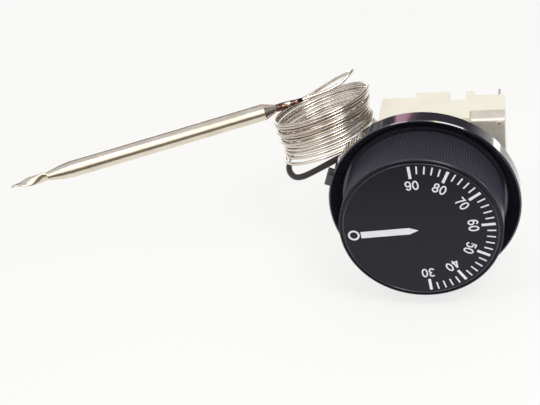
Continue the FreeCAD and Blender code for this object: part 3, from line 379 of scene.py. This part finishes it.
class Shader(NodeTree):
    """A material with one Principled shader, whose values hold where no mask is linked."""

    def __init__(self, name, color, roughness=0.5, metallic=0.0):
        self.name = name
        self.material = bpy.data.materials.new(name)
        super().__init__(self.material)
        self.main = self.nodes["Principled BSDF"]
        self.place = self.add("TexCoord").outputs["Object"]
        self.set(Base_Color=(*color, 1), Roughness=roughness, Metallic=metallic)

    def set(self, **sockets):
        """Set or link the shader's sockets by name, with underscores for spaces."""
        for name, value in sockets.items():
            self.feed(self.main.inputs[name.replace("_", " ")], value)

    def noise(self, scale, detail=3.0, rough=0.5, stretch=(1, 1, 1), turn=(0, 0, 0)):
        """Noise in object space, at a scale in cycles per metre."""
        mapping = self.add("Mapping", vector_type="TEXTURE")
        mapping.inputs["Rotation"].default_value = [math.radians(angle) for angle in turn]
        mapping.inputs["Scale"].default_value = [1 / factor for factor in stretch]
        self.feed(mapping.inputs["Vector"], self.place)
        texture = self.add("TexNoise")
        texture.inputs["Scale"].default_value = scale
        texture.inputs["Detail"].default_value = detail
        texture.inputs["Roughness"].default_value = rough
        self.feed(texture.inputs["Vector"], mapping.outputs["Vector"])
        return texture.outputs["Fac"]

    def cloud(self, tones, spots, scale, detail=4.0):
        """Base colour that drifts between tones, each at a spot of a cloudy noise."""
        self.set(Base_Color=self.ramp(self.noise(scale, detail), list(zip(spots, tones))))

    def openness(self, reach):
        """Mask that is dark in gaps narrower than a reach in millimetres."""
        node = self.add("AmbientOcclusion", samples=AO_SAMPLES)
        node.inputs["Distance"].default_value = reach * MM
        return node.outputs["AO"]

    def rough(self, mask, low, high):
        """Roughness between two values by a mask."""
        self.set(Roughness=self.remap(mask, 0.0, 1.0, low, high))

    def bump(self, mask, depth):
        """Surface raised by a mask, to a depth in metres."""
        node = self.add("Bump")
        node.inputs["Strength"].default_value = 1.0
        node.inputs["Distance"].default_value = depth
        self.feed(node.inputs["Height"], mask)
        self.set(Normal=node.outputs["Normal"])


def black_plastic(name, color, roughness, grain_depth):
    """Moulded dark plastic with a fine grain and faint handling haze."""
    shader = Shader(name, color)
    shader.set(Specular_Tint=BLACK_GLOSS_TINT)
    shader.rough(shader.noise(HAZE_SCALE, detail=4), *(roughness + change for change in HAZE_SPREAD))
    shader.bump(shader.noise(FINE_GRAIN, detail=2), grain_depth)
    return shader


def bezel_plastic():
    """Dark plastic with a polished skin."""
    shader = black_plastic("bezel_black", BEZEL_BLACK, roughness=0.13, grain_depth=1.5 * MICRON)
    shader.set(Coat_Weight=1.0, Coat_Roughness=0.06)
    return shader


def knob_plastic():
    """Black plastic, satin on its fluted side with painted shade in its grooves, and darker on its dial,
    which has fine scratches.
    """
    shader = Shader("knob_black", DIAL_BLACK)
    shader.set(Specular_IOR_Level=0.3, Specular_Tint=BLACK_GLOSS_TINT)
    depth = shader.split(shader.place)["Y"]
    side = shader.remap(depth, (DIAL_Y - FACE_MARGIN) * MM, (DIAL_Y + KNOB_EDGE_DEPTH) * MM)
    # Painted shade: an occlusion mask darkens the fluted side in its grooves and where walls stand close, and
    # leaves its open crests pale.
    flute_shade = shader.ramp(shader.openness(FLUTE_SHADE_REACH), [(0.50, FLUTE_SHADE_DARKEST), (0.86, FLUTE_SHADE_PALEST)])
    shader.set(Base_Color=shader.mix("MIX", side, (*DIAL_BLACK, 1), flute_shade))
    shader.rough(side, low=0.31, high=0.26)
    scratches = shader.noise(scale=1.0, detail=2, stretch=SCRATCH_LINES, turn=SCRATCH_TURN)
    lines = shader.ramp(scratches, [(0.70, MASK_DARK), (0.74, MASK_LIGHT)])
    grain = shader.noise(FINE_GRAIN, detail=2)
    shader.bump(shader.calculate("ADD", lines, grain), depth=3 * MICRON)
    return shader


def cream_plastic():
    """Thermoset body: warm off-white with a faint cloud and moulding grain."""
    shader = Shader("cream_plastic", CREAM_TONES[-1], roughness=0.45)
    shader.cloud(CREAM_TONES, spots=(0.3, 0.7), scale=110)
    shader.bump(shader.noise(scale=2600), depth=20 * MICRON)
    return shader


def plated_steel(name, color, roughness, metallic=1.0):
    """Plated or drawn metal with a cloudy tone and a fine rolling grain."""
    shader = Shader(name, color, metallic=metallic)
    dark = [channel * STEEL_DARKER for channel in color]
    shader.cloud((dark, color), spots=(0.35, 0.65), scale=240, detail=3)
    grain = shader.noise(scale=900, detail=4, rough=0.6)
    shader.rough(grain, *(roughness + change for change in STEEL_SPREAD))
    shader.bump(grain, depth=8 * MICRON)
    return shader


def capillary_metal():
    """Drawn tube with patches of brown tarnish, and painted shade between the turns."""
    shader = Shader("capillary_steel", CAPILLARY_TONES[-1], metallic=1.0)
    patches = shader.ramp(shader.noise(scale=70, detail=4), list(zip((0.36, 0.6), CAPILLARY_TONES)))
    # Painted shade: dark brown where other turns of the wire stand close.
    gaps = shader.ramp(shader.openness(TURN_GAP_SHADE_REACH), [(0.37, TURN_GAP_SHADE), (0.67, MASK_LIGHT)])
    shader.set(Base_Color=shader.mix("MULTIPLY", 1.0, patches, gaps))
    shader.rough(shader.noise(scale=900), low=0.20, high=0.34)
    return shader


def bulb_metal():
    """Nickel plate with fine draw lines along the bulb."""
    shader = Shader("bulb_nickel", NICKEL_TONES[-1], metallic=1.0)
    shader.cloud(NICKEL_TONES, spots=(0.35, 0.65), scale=160)
    lines = shader.noise(scale=1.0, detail=4, rough=0.6, stretch=DRAW_LINES, turn=DRAW_TURN)
    shader.rough(lines, low=0.12, high=0.30)
    shader.bump(lines, depth=12 * MICRON)
    return shader


def neck_metal():
    """Brazed joint, tinted brown and dark red by heat."""
    shader = Shader("heat_tinted", HEAT_TONES[-1], roughness=0.24, metallic=1.0)
    shader.cloud(HEAT_TONES, spots=(0.40, 0.54, 0.68), scale=420)
    shader.bump(shader.noise(scale=1400, detail=4), depth=120 * MICRON)
    return shader


def printed_ink():
    """Pad-printed white ink."""
    shader = Shader("print_white", INK_WHITE)
    shader.bump(shader.noise(scale=5000, detail=2), depth=6 * MICRON)
    return shader


def sleeve_rubber():
    """Dark brown-black insulating sleeve."""
    shader = Shader("sleeve_dark", SLEEVE_BROWN, roughness=0.42)
    shader.bump(shader.noise(scale=2500), depth=20 * MICRON)
    return shader


def rolled_brass():
    """Brass strip with a cloudy sheen."""
    shader = Shader("brass", BRASS_YELLOW, metallic=1.0)
    shader.rough(shader.noise(scale=700), low=0.2, high=0.38)
    return shader


def make_materials():
    """All materials by name. The record's slots have theirs under the slot's own name."""
    shaders = [
        knob_plastic(),
        bezel_plastic(),
        cream_plastic(),
        plated_steel("zinc_steel", (0.84, 0.78, 0.68), roughness=0.46, metallic=0.5),
        plated_steel("tinned_brass", (0.78, 0.77, 0.74), roughness=0.38, metallic=0.7),
        plated_steel("turned_steel", (0.62, 0.61, 0.60), roughness=0.25),
        plated_steel("spring_steel", (0.40, 0.39, 0.39), roughness=0.3),
        capillary_metal(),
        bulb_metal(),
        neck_metal(),
        plated_steel("silver", (0.82, 0.81, 0.78), roughness=0.2),
        rolled_brass(),
        printed_ink(),
        sleeve_rubber(),
        black_plastic("lever_plastic", LEVER_BROWN, roughness=0.4, grain_depth=10 * MICRON),
    ]
    return {shader.name: shader.material for shader in shaders}


MATERIALS = make_materials()


def dress_nodes():
    """Give each carried-over node its slot's material, and the terminals a tinned one."""
    for part in frame["record"]["subparts"]:
        name = "tinned_brass" if "_terminal_" in part["node"] else part["material_slot"]
        for slot in frame["nodes"][part["node"]].material_slots:
            slot.material = MATERIALS[name]


# Capillary


def coil_axes():
    """Two directions across the coil's axis: to the right, and to the back."""
    right = Vector((0, 1, 0)).cross(COIL_AXIS).normalized()
    return right, COIL_AXIS.cross(right)


def coil_point(angle, rise, radius):
    """A point of the coil from its angle, height and radius."""
    right, back = coil_axes()
    turn = math.radians(angle)
    return COIL_FOOT + COIL_AXIS * rise + (right * math.cos(turn) + back * math.sin(turn)) * radius


def coil_radius(turn, phase, done):
    """Radius of the wound wire at a turn, as uneven as hands leave it."""
    radius = COIL_R[0] + (COIL_R[1] - COIL_R[0]) * done
    radius += COIL_SWELL[0] * math.sin(COIL_SWELL[1] * turn)
    return radius + COIL_OVAL[0] * math.sin(phase + COIL_OVAL[1] * turn)


def looseness(turn):
    """How loose the wire is: none where it starts, most within the first turn, none further up."""
    return max(0.0, 1 - turn / LOOSE_TURNS) * min(1.0, LOOSE_RISE * turn)


def coil_lean(turn):
    """How far the turn leans to the right."""
    return max(0.0, (turn - LEAN_FROM) / (COIL_TURNS - LEAN_FROM)) ** LEAN_POWER * LEAN_MOST


def coil_points():
    """Control points of the turns, a little outside the wire because the spline cuts their corners."""
    points = []
    right = coil_axes()[0]
    widen = 1 / math.cos(math.pi / COIL_STEPS)
    steps = round(COIL_TURNS * COIL_STEPS)
    for index in range(steps + 1):
        done = index / steps
        turn = index / COIL_STEPS
        angle = COIL_START - 360 * turn
        phase = math.radians(angle)
        lean = coil_lean(turn)
        loose = looseness(turn)
        side = max(0.0, math.cos(phase - math.radians(LOOSE_SIDE)))
        radius = coil_radius(turn, phase, done) + lean + LOOSE_BULGE * loose * side
        tilt = COIL_TILT[0] * math.sin(phase + COIL_TILT[1] * turn)
        rise = COIL_HEIGHT * done - LOOSE_SAG * loose + tilt
        points.append(coil_point(angle, rise, radius * widen) + right * lean)
    return points


def capillary_points():
    """The whole route, from the capsule through the sleeve and the coil to the bulb."""
    turn = math.radians(SPIGOT_ANGLE)
    way = Vector((math.cos(turn), 0, math.sin(turn)))
    centre = Vector(CAPSULE_CENTRE)
    spigot = [centre + way * SPIGOT_END, centre + way * (SPIGOT_END + SPIGOT_RUN)]
    lead = [Vector(place) for place in LEAD_ROUTE]
    loop = [Vector(place) for place in LOOP_ROUTE]
    return spigot + lead + coil_points() + loop


def make_capillary():
    """The capillary as one smooth round wire."""
    curve = bpy.data.curves.new("capillary", "CURVE")
    curve.dimensions = "3D"
    curve.resolution_u = CURVE_STEPS
    curve.bevel_depth = TUBE_R * MM
    curve.bevel_resolution = BEVEL_STEPS
    curve.use_fill_caps = True
    points = capillary_points()
    spline = curve.splines.new("NURBS")
    spline.points.add(len(points) - 1)
    for target, point in zip(spline.points, points):
        target.co = (*(point * MM), 1)
    spline.order_u = 3
    spline.use_endpoint_u = True
    curve.materials.append(MATERIALS["capillary_steel"])
    obj = link(bpy.data.objects.new("capillary", curve))
    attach(obj, "root")
    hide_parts("capillary_lead", "capillary_coil", "capillary_loop")
    return obj


def centreline(obj):
    """Points along a curve object's own line."""
    copy = obj.data.copy()
    copy.bevel_depth = 0
    probe = link(bpy.data.objects.new("probe", copy))
    depsgraph = bpy.context.evaluated_depsgraph_get()
    mesh = bpy.data.meshes.new_from_object(probe.evaluated_get(depsgraph))
    points = [vertex.co.copy() for vertex in mesh.vertices]
    bpy.data.objects.remove(probe)
    bpy.data.curves.remove(copy)
    bpy.data.meshes.remove(mesh)
    return points


def path_length(points):
    """Length of a chain of points."""
    return sum((b - a).length for a, b in zip(points, points[1:]))


def nearest(points, target):
    """Index of the point nearest to a place."""
    return min(range(len(points)), key=lambda index: (points[index] - target).length)


def tube_rings(points, radii):
    """Rings of corners square to a chain of points, kept from twisting along it."""
    verts = []
    side = (points[1] - points[0]).orthogonal().normalized()
    for index, (point, radius) in enumerate(zip(points, radii)):
        before = points[max(index - 1, 0)]
        after = points[min(index + 1, len(points) - 1)]
        way = (after - before).normalized()
        side = (side - way * side.dot(way)).normalized()
        other = way.cross(side)
        for step in range(TUBE_SIDES):
            turn = 2 * math.pi * step / TUBE_SIDES
            verts.append(point + (side * math.cos(turn) + other * math.sin(turn)) * radius)
    return verts


def tube(name, points, radii, material):
    """A closed tube along points, with a radius at each."""
    verts = tube_rings(points, radii)
    faces = []
    for start in range(0, len(verts) - TUBE_SIDES, TUBE_SIDES):
        for step in range(TUBE_SIDES):
            a = start + step
            b = start + (step + 1) % TUBE_SIDES
            faces.append((a, b, b + TUBE_SIDES, a + TUBE_SIDES))
    faces.append(tuple(range(TUBE_SIDES))[::-1])
    faces.append(tuple(range(len(verts) - TUBE_SIDES, len(verts))))
    return mesh_object(name, verts, faces, material)


def make_sleeve(line):
    """The dark sleeve over the capillary, a little uneven, from the bracket to the coil."""
    start, end = (nearest(line, mm(*place)) for place in SLEEVE_ENDS)
    covered = line[start:end + 1]
    share, speed = SLEEVE_WAVE
    radii = [SLEEVE_R * MM * (1 + share * math.sin(speed * index)) for index in range(len(covered))]
    obj = tube("sleeve", covered, radii, MATERIALS["sleeve_dark"])
    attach(obj, "root")
    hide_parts("capillary_sleeve")
    return obj


def neck_radius(done):
    """Radius of the neck, wide up to its middle, then narrowing to the tube."""
    wide, narrow = NECK_RADII
    share = min(1.0, NECK_TAPER * (1 - done)) ** NECK_POWER
    return (narrow + (wide - narrow) * share) * MM


def make_neck(line):
    """Brazed neck where the capillary enters the bulb, from inside the bulb back along the tube."""
    into = Vector(BULB_WAY).normalized() * NECK_OVERLAP / 2 * MM
    run = [line[-1] + into * 2, line[-1] + into, line[-1]]
    for point in reversed(line[:-1]):
        run.append(point)
        if path_length(run) > NECK_LENGTH * MM:
            break
    radii = [neck_radius(index / (len(run) - 1)) for index in range(len(run))]
    obj = tube("bulb_neck", run, radii, MATERIALS["heat_tinted"])
    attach(obj, "root")
    return obj


# Dial print


def dial_point(radius, angle, across=0.0, lift=0.0):
    """A point on the dial from a radius and angle, moved across the radius, in metres."""
    turn = math.radians(angle)
    x = radius * math.cos(turn) - across * math.sin(turn)
    z = radius * math.sin(turn) + across * math.cos(turn)
    return mm(x, DIAL_Y - lift, z)


def print_shapes(name, loops):
    """Flat printed shapes with a little thickness, from (radius, angle, across) outlines."""
    verts = []
    faces = []
    for loop in loops:
        base = len(verts)
        count = len(loop)
        for lift in (0.0, PRINT_PROUD):
            verts += [dial_point(radius, angle, across, lift) for radius, angle, across in loop]
        faces.append(tuple(range(base + count, base + 2 * count)))
        for index in range(count):
            after = (index + 1) % count
            faces.append((base + index, base + after, base + count + after, base + count + index))
    print_piece(name, verts, faces)


def make_ticks():
    """Scale marks, a long one at each ten."""
    loops = []
    for value in range(SCALE_RANGE[0], SCALE_RANGE[1] + 1, TICK_EVERY):
        kind = "short" if value % LONG_TICK_EVERY else "long"
        half = TICK_WIDTH[kind] / 2
        inner = TICK_INNER[kind]
        angle = SCALE_ANGLE + (value - SCALE_MIDDLE) * DEGREES_PER_UNIT
        corners = [(inner, -half), (inner, half), (TICK_OUTER, half), (TICK_OUTER, -half)]
        loops.append([(radius, angle, across) for radius, across in corners])
    print_shapes("dial_marks", loops)


def make_pointer():
    """Bar from the off mark to the middle, with a pointed end."""
    half = POINTER_WIDTH / 2
    corners = [
        (POINTER_OUTER, -half), (POINTER_SHOULDER, -half), (POINTER_TIP, 0),
        (POINTER_SHOULDER, half), (POINTER_OUTER, half),
    ]
    print_shapes("dial_pointer", [[(radius, POINTER_ANGLE, across) for radius, across in corners]])


def make_zero():
    """Ring that marks the off position, with four rows of corners: outer low and high, inner low and high."""
    verts = []
    faces = []
    centre = dial_point(ZERO_R, ZERO_ANGLE)
    for radius in ZERO_RADII:
        for lift in (0.0, PRINT_PROUD):
            for step in range(ZERO_STEPS):
                turn = 2 * math.pi * step / ZERO_STEPS
                verts.append(centre + mm(radius * math.cos(turn), -lift, radius * math.sin(turn)))
    for step in range(ZERO_STEPS):
        after = (step + 1) % ZERO_STEPS
        for row, next_row in ((0, 1), (1, 3), (3, 2)):
            a = row * ZERO_STEPS
            b = next_row * ZERO_STEPS
            faces.append((a + step, a + after, b + after, b + step))
    print_piece("dial_zero", verts, faces)


def arc(x, y, wide, high, start, end):
    """Points of an oval arc between two angles, in shares of a digit's half size."""
    count = max(ARC_STEPS_LEAST, round(abs(end - start) / ARC_STEP))
    turns = [math.radians(start + (end - start) * index / count) for index in range(count + 1)]
    return [(x + wide * math.cos(turn), y + high * math.sin(turn)) for turn in turns]


# Strokes of the digits, in shares of a digit's half size from its middle
DIGITS = {
    "0": [arc(0, 0, 1, 1, 0, 360)],
    "3": [arc(-0.02, 0.52, 0.85, 0.48, 155, -90), arc(-0.02, -0.48, 0.98, 0.52, 90, -155)],
    "4": [[(0.42, 1.05), (-1.05, -0.42), (1.15, -0.42)], [(0.42, 1.05), (0.42, -1.1)]],
    "5": [[(0.85, 1.0), (-0.72, 1.0), (-0.86, 0.06)] + arc(0, -0.30, 0.98, 0.70, 150, -150)],
    "6": [arc(0, -0.42, 0.98, 0.58, 0, 360), arc(0, 0.05, 0.98, 0.95, 38, 180) + [(-0.98, -0.42)]],
    "7": [[(-0.95, 1.0), (1.0, 1.0), (0.35, 0.15), (-0.05, -0.5), (-0.2, -1.1)]],
    "8": [arc(0, 0.52, 0.82, 0.48, 0, 360), arc(0, -0.48, 0.98, 0.52, 0, 360)],
    "9": [arc(0, 0.42, 0.98, 0.58, 0, 360), arc(0, -0.05, 0.98, 0.95, -142, 0) + [(0.98, 0.42)]],
}


def stroke_corners(spots, closed, lift):
    """Four corners at each place of a stroke, mitred where it bends, each with its height."""
    verts = []
    last = len(spots) - 1
    for index, spot in enumerate(spots):
        before = spots[index - 1] if closed or index else spot
        after = spots[(index + 1) % len(spots)] if closed or index < last else spot
        ways = [way.normalized() for way in (spot - before, after - spot) if way.length]
        way = sum(ways, Vector((0, 0))).normalized()
        miter = 1 / max(MITER_LEAST, way.dot(ways[0]))
        side = Vector((-way.y, way.x)) * DIGIT_STROKE / 2 * miter
        verts += [(spot + side * sign, height) for height in (0.0, lift) for sign in (1, -1)]
    return verts


def stroke_faces(count, closed):
    """Sides and top of a stroke whose places have four corners each, with ends where it is open."""
    faces = []
    for index in range(count if closed else count - 1):
        a = 4 * index
        b = 4 * ((index + 1) % count)
        faces += [(a + 2, a + 3, b + 3, b + 2), (a + 1, b + 1, b + 3, a + 3), (a, a + 2, b + 2, b)]
    if not closed:
        end = 4 * (count - 1)
        faces += [(0, 1, 3, 2), (end, end + 2, end + 3, end + 1)]
    return faces


def stroke_mesh(points, lift):
    """A band of even width along a line: corners with their heights, and faces."""
    closed = (Vector(points[0]) - Vector(points[-1])).length < SAME_PLACE
    spots = [Vector(point) for point in (points[:-1] if closed else points)]
    return stroke_corners(spots, closed, lift), stroke_faces(len(spots), closed)


def number_strokes(value):
    """Lines of a two-digit number's strokes, in millimetres from its middle."""
    for place, digit in zip((-0.5, 0.5), str(value)):
        for stroke in DIGITS[digit]:
            yield [(x * DIGIT_HALF[0] + place * DIGIT_PITCH, y * DIGIT_HALF[1]) for x, y in stroke]


def make_number(value, angle):
    """A plain number on the dial, its top outward."""
    outward = dial_point(1, angle) - dial_point(0, angle)
    across = outward.cross(Vector((0, -1, 0)))
    middle = dial_point(NUMBER_R, angle)
    verts = []
    faces = []
    for index, points in enumerate(number_strokes(value)):
        corners, bands = stroke_mesh(points, PRINT_PROUD + STROKE_STEP * index)
        faces += [tuple(len(verts) + corner for corner in band) for band in bands]
        verts += [middle + across * spot.x + outward * spot.y + mm(0, -height, 0) for spot, height in corners]
    print_piece(f"number_{value}", verts, faces)


def make_bead():
    """Rounded bead round the dial, inside the knob's groove."""
    verts = []
    faces = []
    total = BEAD_STEPS * BEAD_SIDES
    for ring in range(BEAD_STEPS):
        angle = 360 * ring / BEAD_STEPS
        for step in range(BEAD_SIDES):
            turn = 2 * math.pi * step / BEAD_SIDES
            radius = BEAD_R + BEAD_THICK_R * math.cos(turn)
            verts.append(dial_point(radius, angle, lift=BEAD_THICK_R * math.sin(turn)))
            a = ring * BEAD_SIDES + step
            b = ring * BEAD_SIDES + (step + 1) % BEAD_SIDES
            faces.append((a, (a + BEAD_SIDES) % total, (b + BEAD_SIDES) % total, b))
    obj = mesh_object("dial_edge", verts, faces, MATERIALS["bezel_black"])
    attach(obj, "knob_body")


# Camera, light and floor


def make_camera():
    """The photograph's viewpoint."""
    azimuth = math.radians(VIEW_AZIMUTH)
    elevation = math.radians(VIEW_ELEVATION)
    roll = math.radians(VIEW_ROLL)
    flat = math.cos(elevation)
    back = Vector((math.sin(azimuth) * flat, -math.cos(azimuth) * flat, math.sin(elevation)))
    level = (-back).cross(Vector((0, 0, 1))).normalized()
    above = level.cross(-back)
    right = level * math.cos(roll) + above * math.sin(roll)
    up = above * math.cos(roll) - level * math.sin(roll)
    camera = bpy.data.cameras.new("camera")
    camera.lens = LENS
    camera.sensor_width = SENSOR
    camera.clip_start = CLIP_START * MM
    obj = link(bpy.data.objects.new("camera", camera))
    place = Matrix((right, up, back)).transposed().to_4x4()
    place.translation = (Vector(VIEW_TARGET) + back * VIEW_DISTANCE) * MM
    obj.matrix_world = place
    bpy.context.scene.camera = obj


def room_color(tree, way):
    """The mirrored room's colour, by the angle from the front horizon up and over."""
    parts = tree.split(way)
    forward = tree.calculate("MULTIPLY", parts["Y"], -1)
    angle = tree.calculate("ARCTAN2", parts["Z"], forward)
    share = tree.remap(angle, -math.pi, math.pi)
    return tree.ramp(share, [((angle + 180) / 360, color) for angle, color in ROOM_COLORS])


def room_strength(tree, way):
    """The mirrored room's brightness, lower towards its dark side."""
    toward = tree.measure("DOT_PRODUCT", way, Vector(SHADE_WAY).normalized())
    dark = ROOM_STRENGTH * SHADE_LEVEL
    return tree.remap(toward, *SHADE_COSINES, ROOM_STRENGTH, dark, "SMOOTHSTEP")


def make_world():
    """White behind the object, plain light on it, and the room in its gloss."""
    world = bpy.data.worlds.new("room")
    bpy.context.scene.world = world
    tree = NodeTree(world)
    tree.nodes.clear()
    way = tree.add("TexCoord").outputs["Generated"]
    rays = tree.add("LightPath").outputs
    plain = tree.glow("Background", (1, 1, 1, 1), PLAIN_LIGHT)
    room = tree.glow("Background", room_color(tree, way), room_strength(tree, way))
    white = tree.glow("Background", (*BACKDROP, 1))
    light = tree.mix_shaders(rays["Is Glossy Ray"], plain, room)
    seen = tree.calculate("MAXIMUM", rays["Is Camera Ray"], rays["Is Transmission Ray"])
    output = tree.add("OutputWorld")
    tree.feed(output.inputs["Surface"], tree.mix_shaders(seen, light, white))


def make_lamp(name, way, size, level, color, lights=True):
    """A soft rectangular lamp that faces the origin, or only its mirror image."""
    light = bpy.data.lights.new(name, "AREA")
    light.shape = "RECTANGLE"
    light.size = size[0] * MM
    light.size_y = size[1] * MM
    light.energy = level * math.pi * light.size * light.size_y
    light.color = color
    obj = link(bpy.data.objects.new(name, light))
    way = Vector(way).normalized()
    obj.location = way * LAMP_DISTANCE * MM
    obj.rotation_euler = (-way).to_track_quat("-Z", "Y").to_euler()
    obj.visible_camera = False
    obj.visible_diffuse = lights


def sheet_material():
    """White that keeps the object's shadow, and glows for the camera, for metal and for glass."""
    shader = Shader("floor_white", SHEET_WHITE, roughness=SHEET_ROUGHNESS)
    shader.set(Specular_IOR_Level=SHEET_GLOSS)
    rays = shader.add("LightPath").outputs
    camera = rays["Is Camera Ray"]
    near = shader.remap(shader.split(shader.place)["Y"], SHEET_EDGE[0] * MM, SHEET_EDGE[1] * MM)
    white = shader.calculate("MAXIMUM", near, camera)
    shader.set(Base_Color=shader.ramp(white, [(0.0, TABLE_DARK), (1.0, SHEET_WHITE)]))
    mirrored = shader.calculate("MAXIMUM", rays["Is Glossy Ray"], rays["Is Transmission Ray"])
    shown = shader.calculate("MAXIMUM", camera, shader.calculate("MULTIPLY", mirrored, near))
    distance = shader.measure("LENGTH", shader.place)
    level = shader.remap(distance, SHEET_FADE[0] * MM, SHEET_FADE[1] * MM, SHEET_GLOW, 1.0)
    share = shader.calculate("MULTIPLY", shown, level)
    glow = shader.glow("Emission", (*BACKDROP, 1))
    surface = shader.mix_shaders(share, shader.main.outputs["BSDF"], glow)
    shader.feed(shader.nodes["Material Output"].inputs["Surface"], surface)
    return shader.material


def make_floor():
    """The sheet, level with the model's lowest point."""
    low = CAD_BOX[0][2]
    half = SHEET_HALF * MM
    corners = [(-half, -half, low), (half, -half, low), (half, half, low), (-half, half, low)]
    mesh_object("floor", corners, [(0, 1, 2, 3)], sheet_material(), smooth=False)


def main():
    bpy.context.scene.view_settings.view_transform = "Standard"
    dress_nodes()
    capillary = make_capillary()
    line = centreline(capillary)
    sleeve = make_sleeve(line)
    neck = make_neck(line)
    make_ticks()
    make_pointer()
    make_zero()
    for value, angle in NUMBER_ANGLES.items():
        make_number(value, angle)
    make_bead()
    make_camera()
    make_world()
    make_floor()
    for lamp in LAMPS:
        make_lamp(*lamp)
    for lamp in MIRRORED_LAMPS:
        make_lamp(*lamp, lights=False)


main()
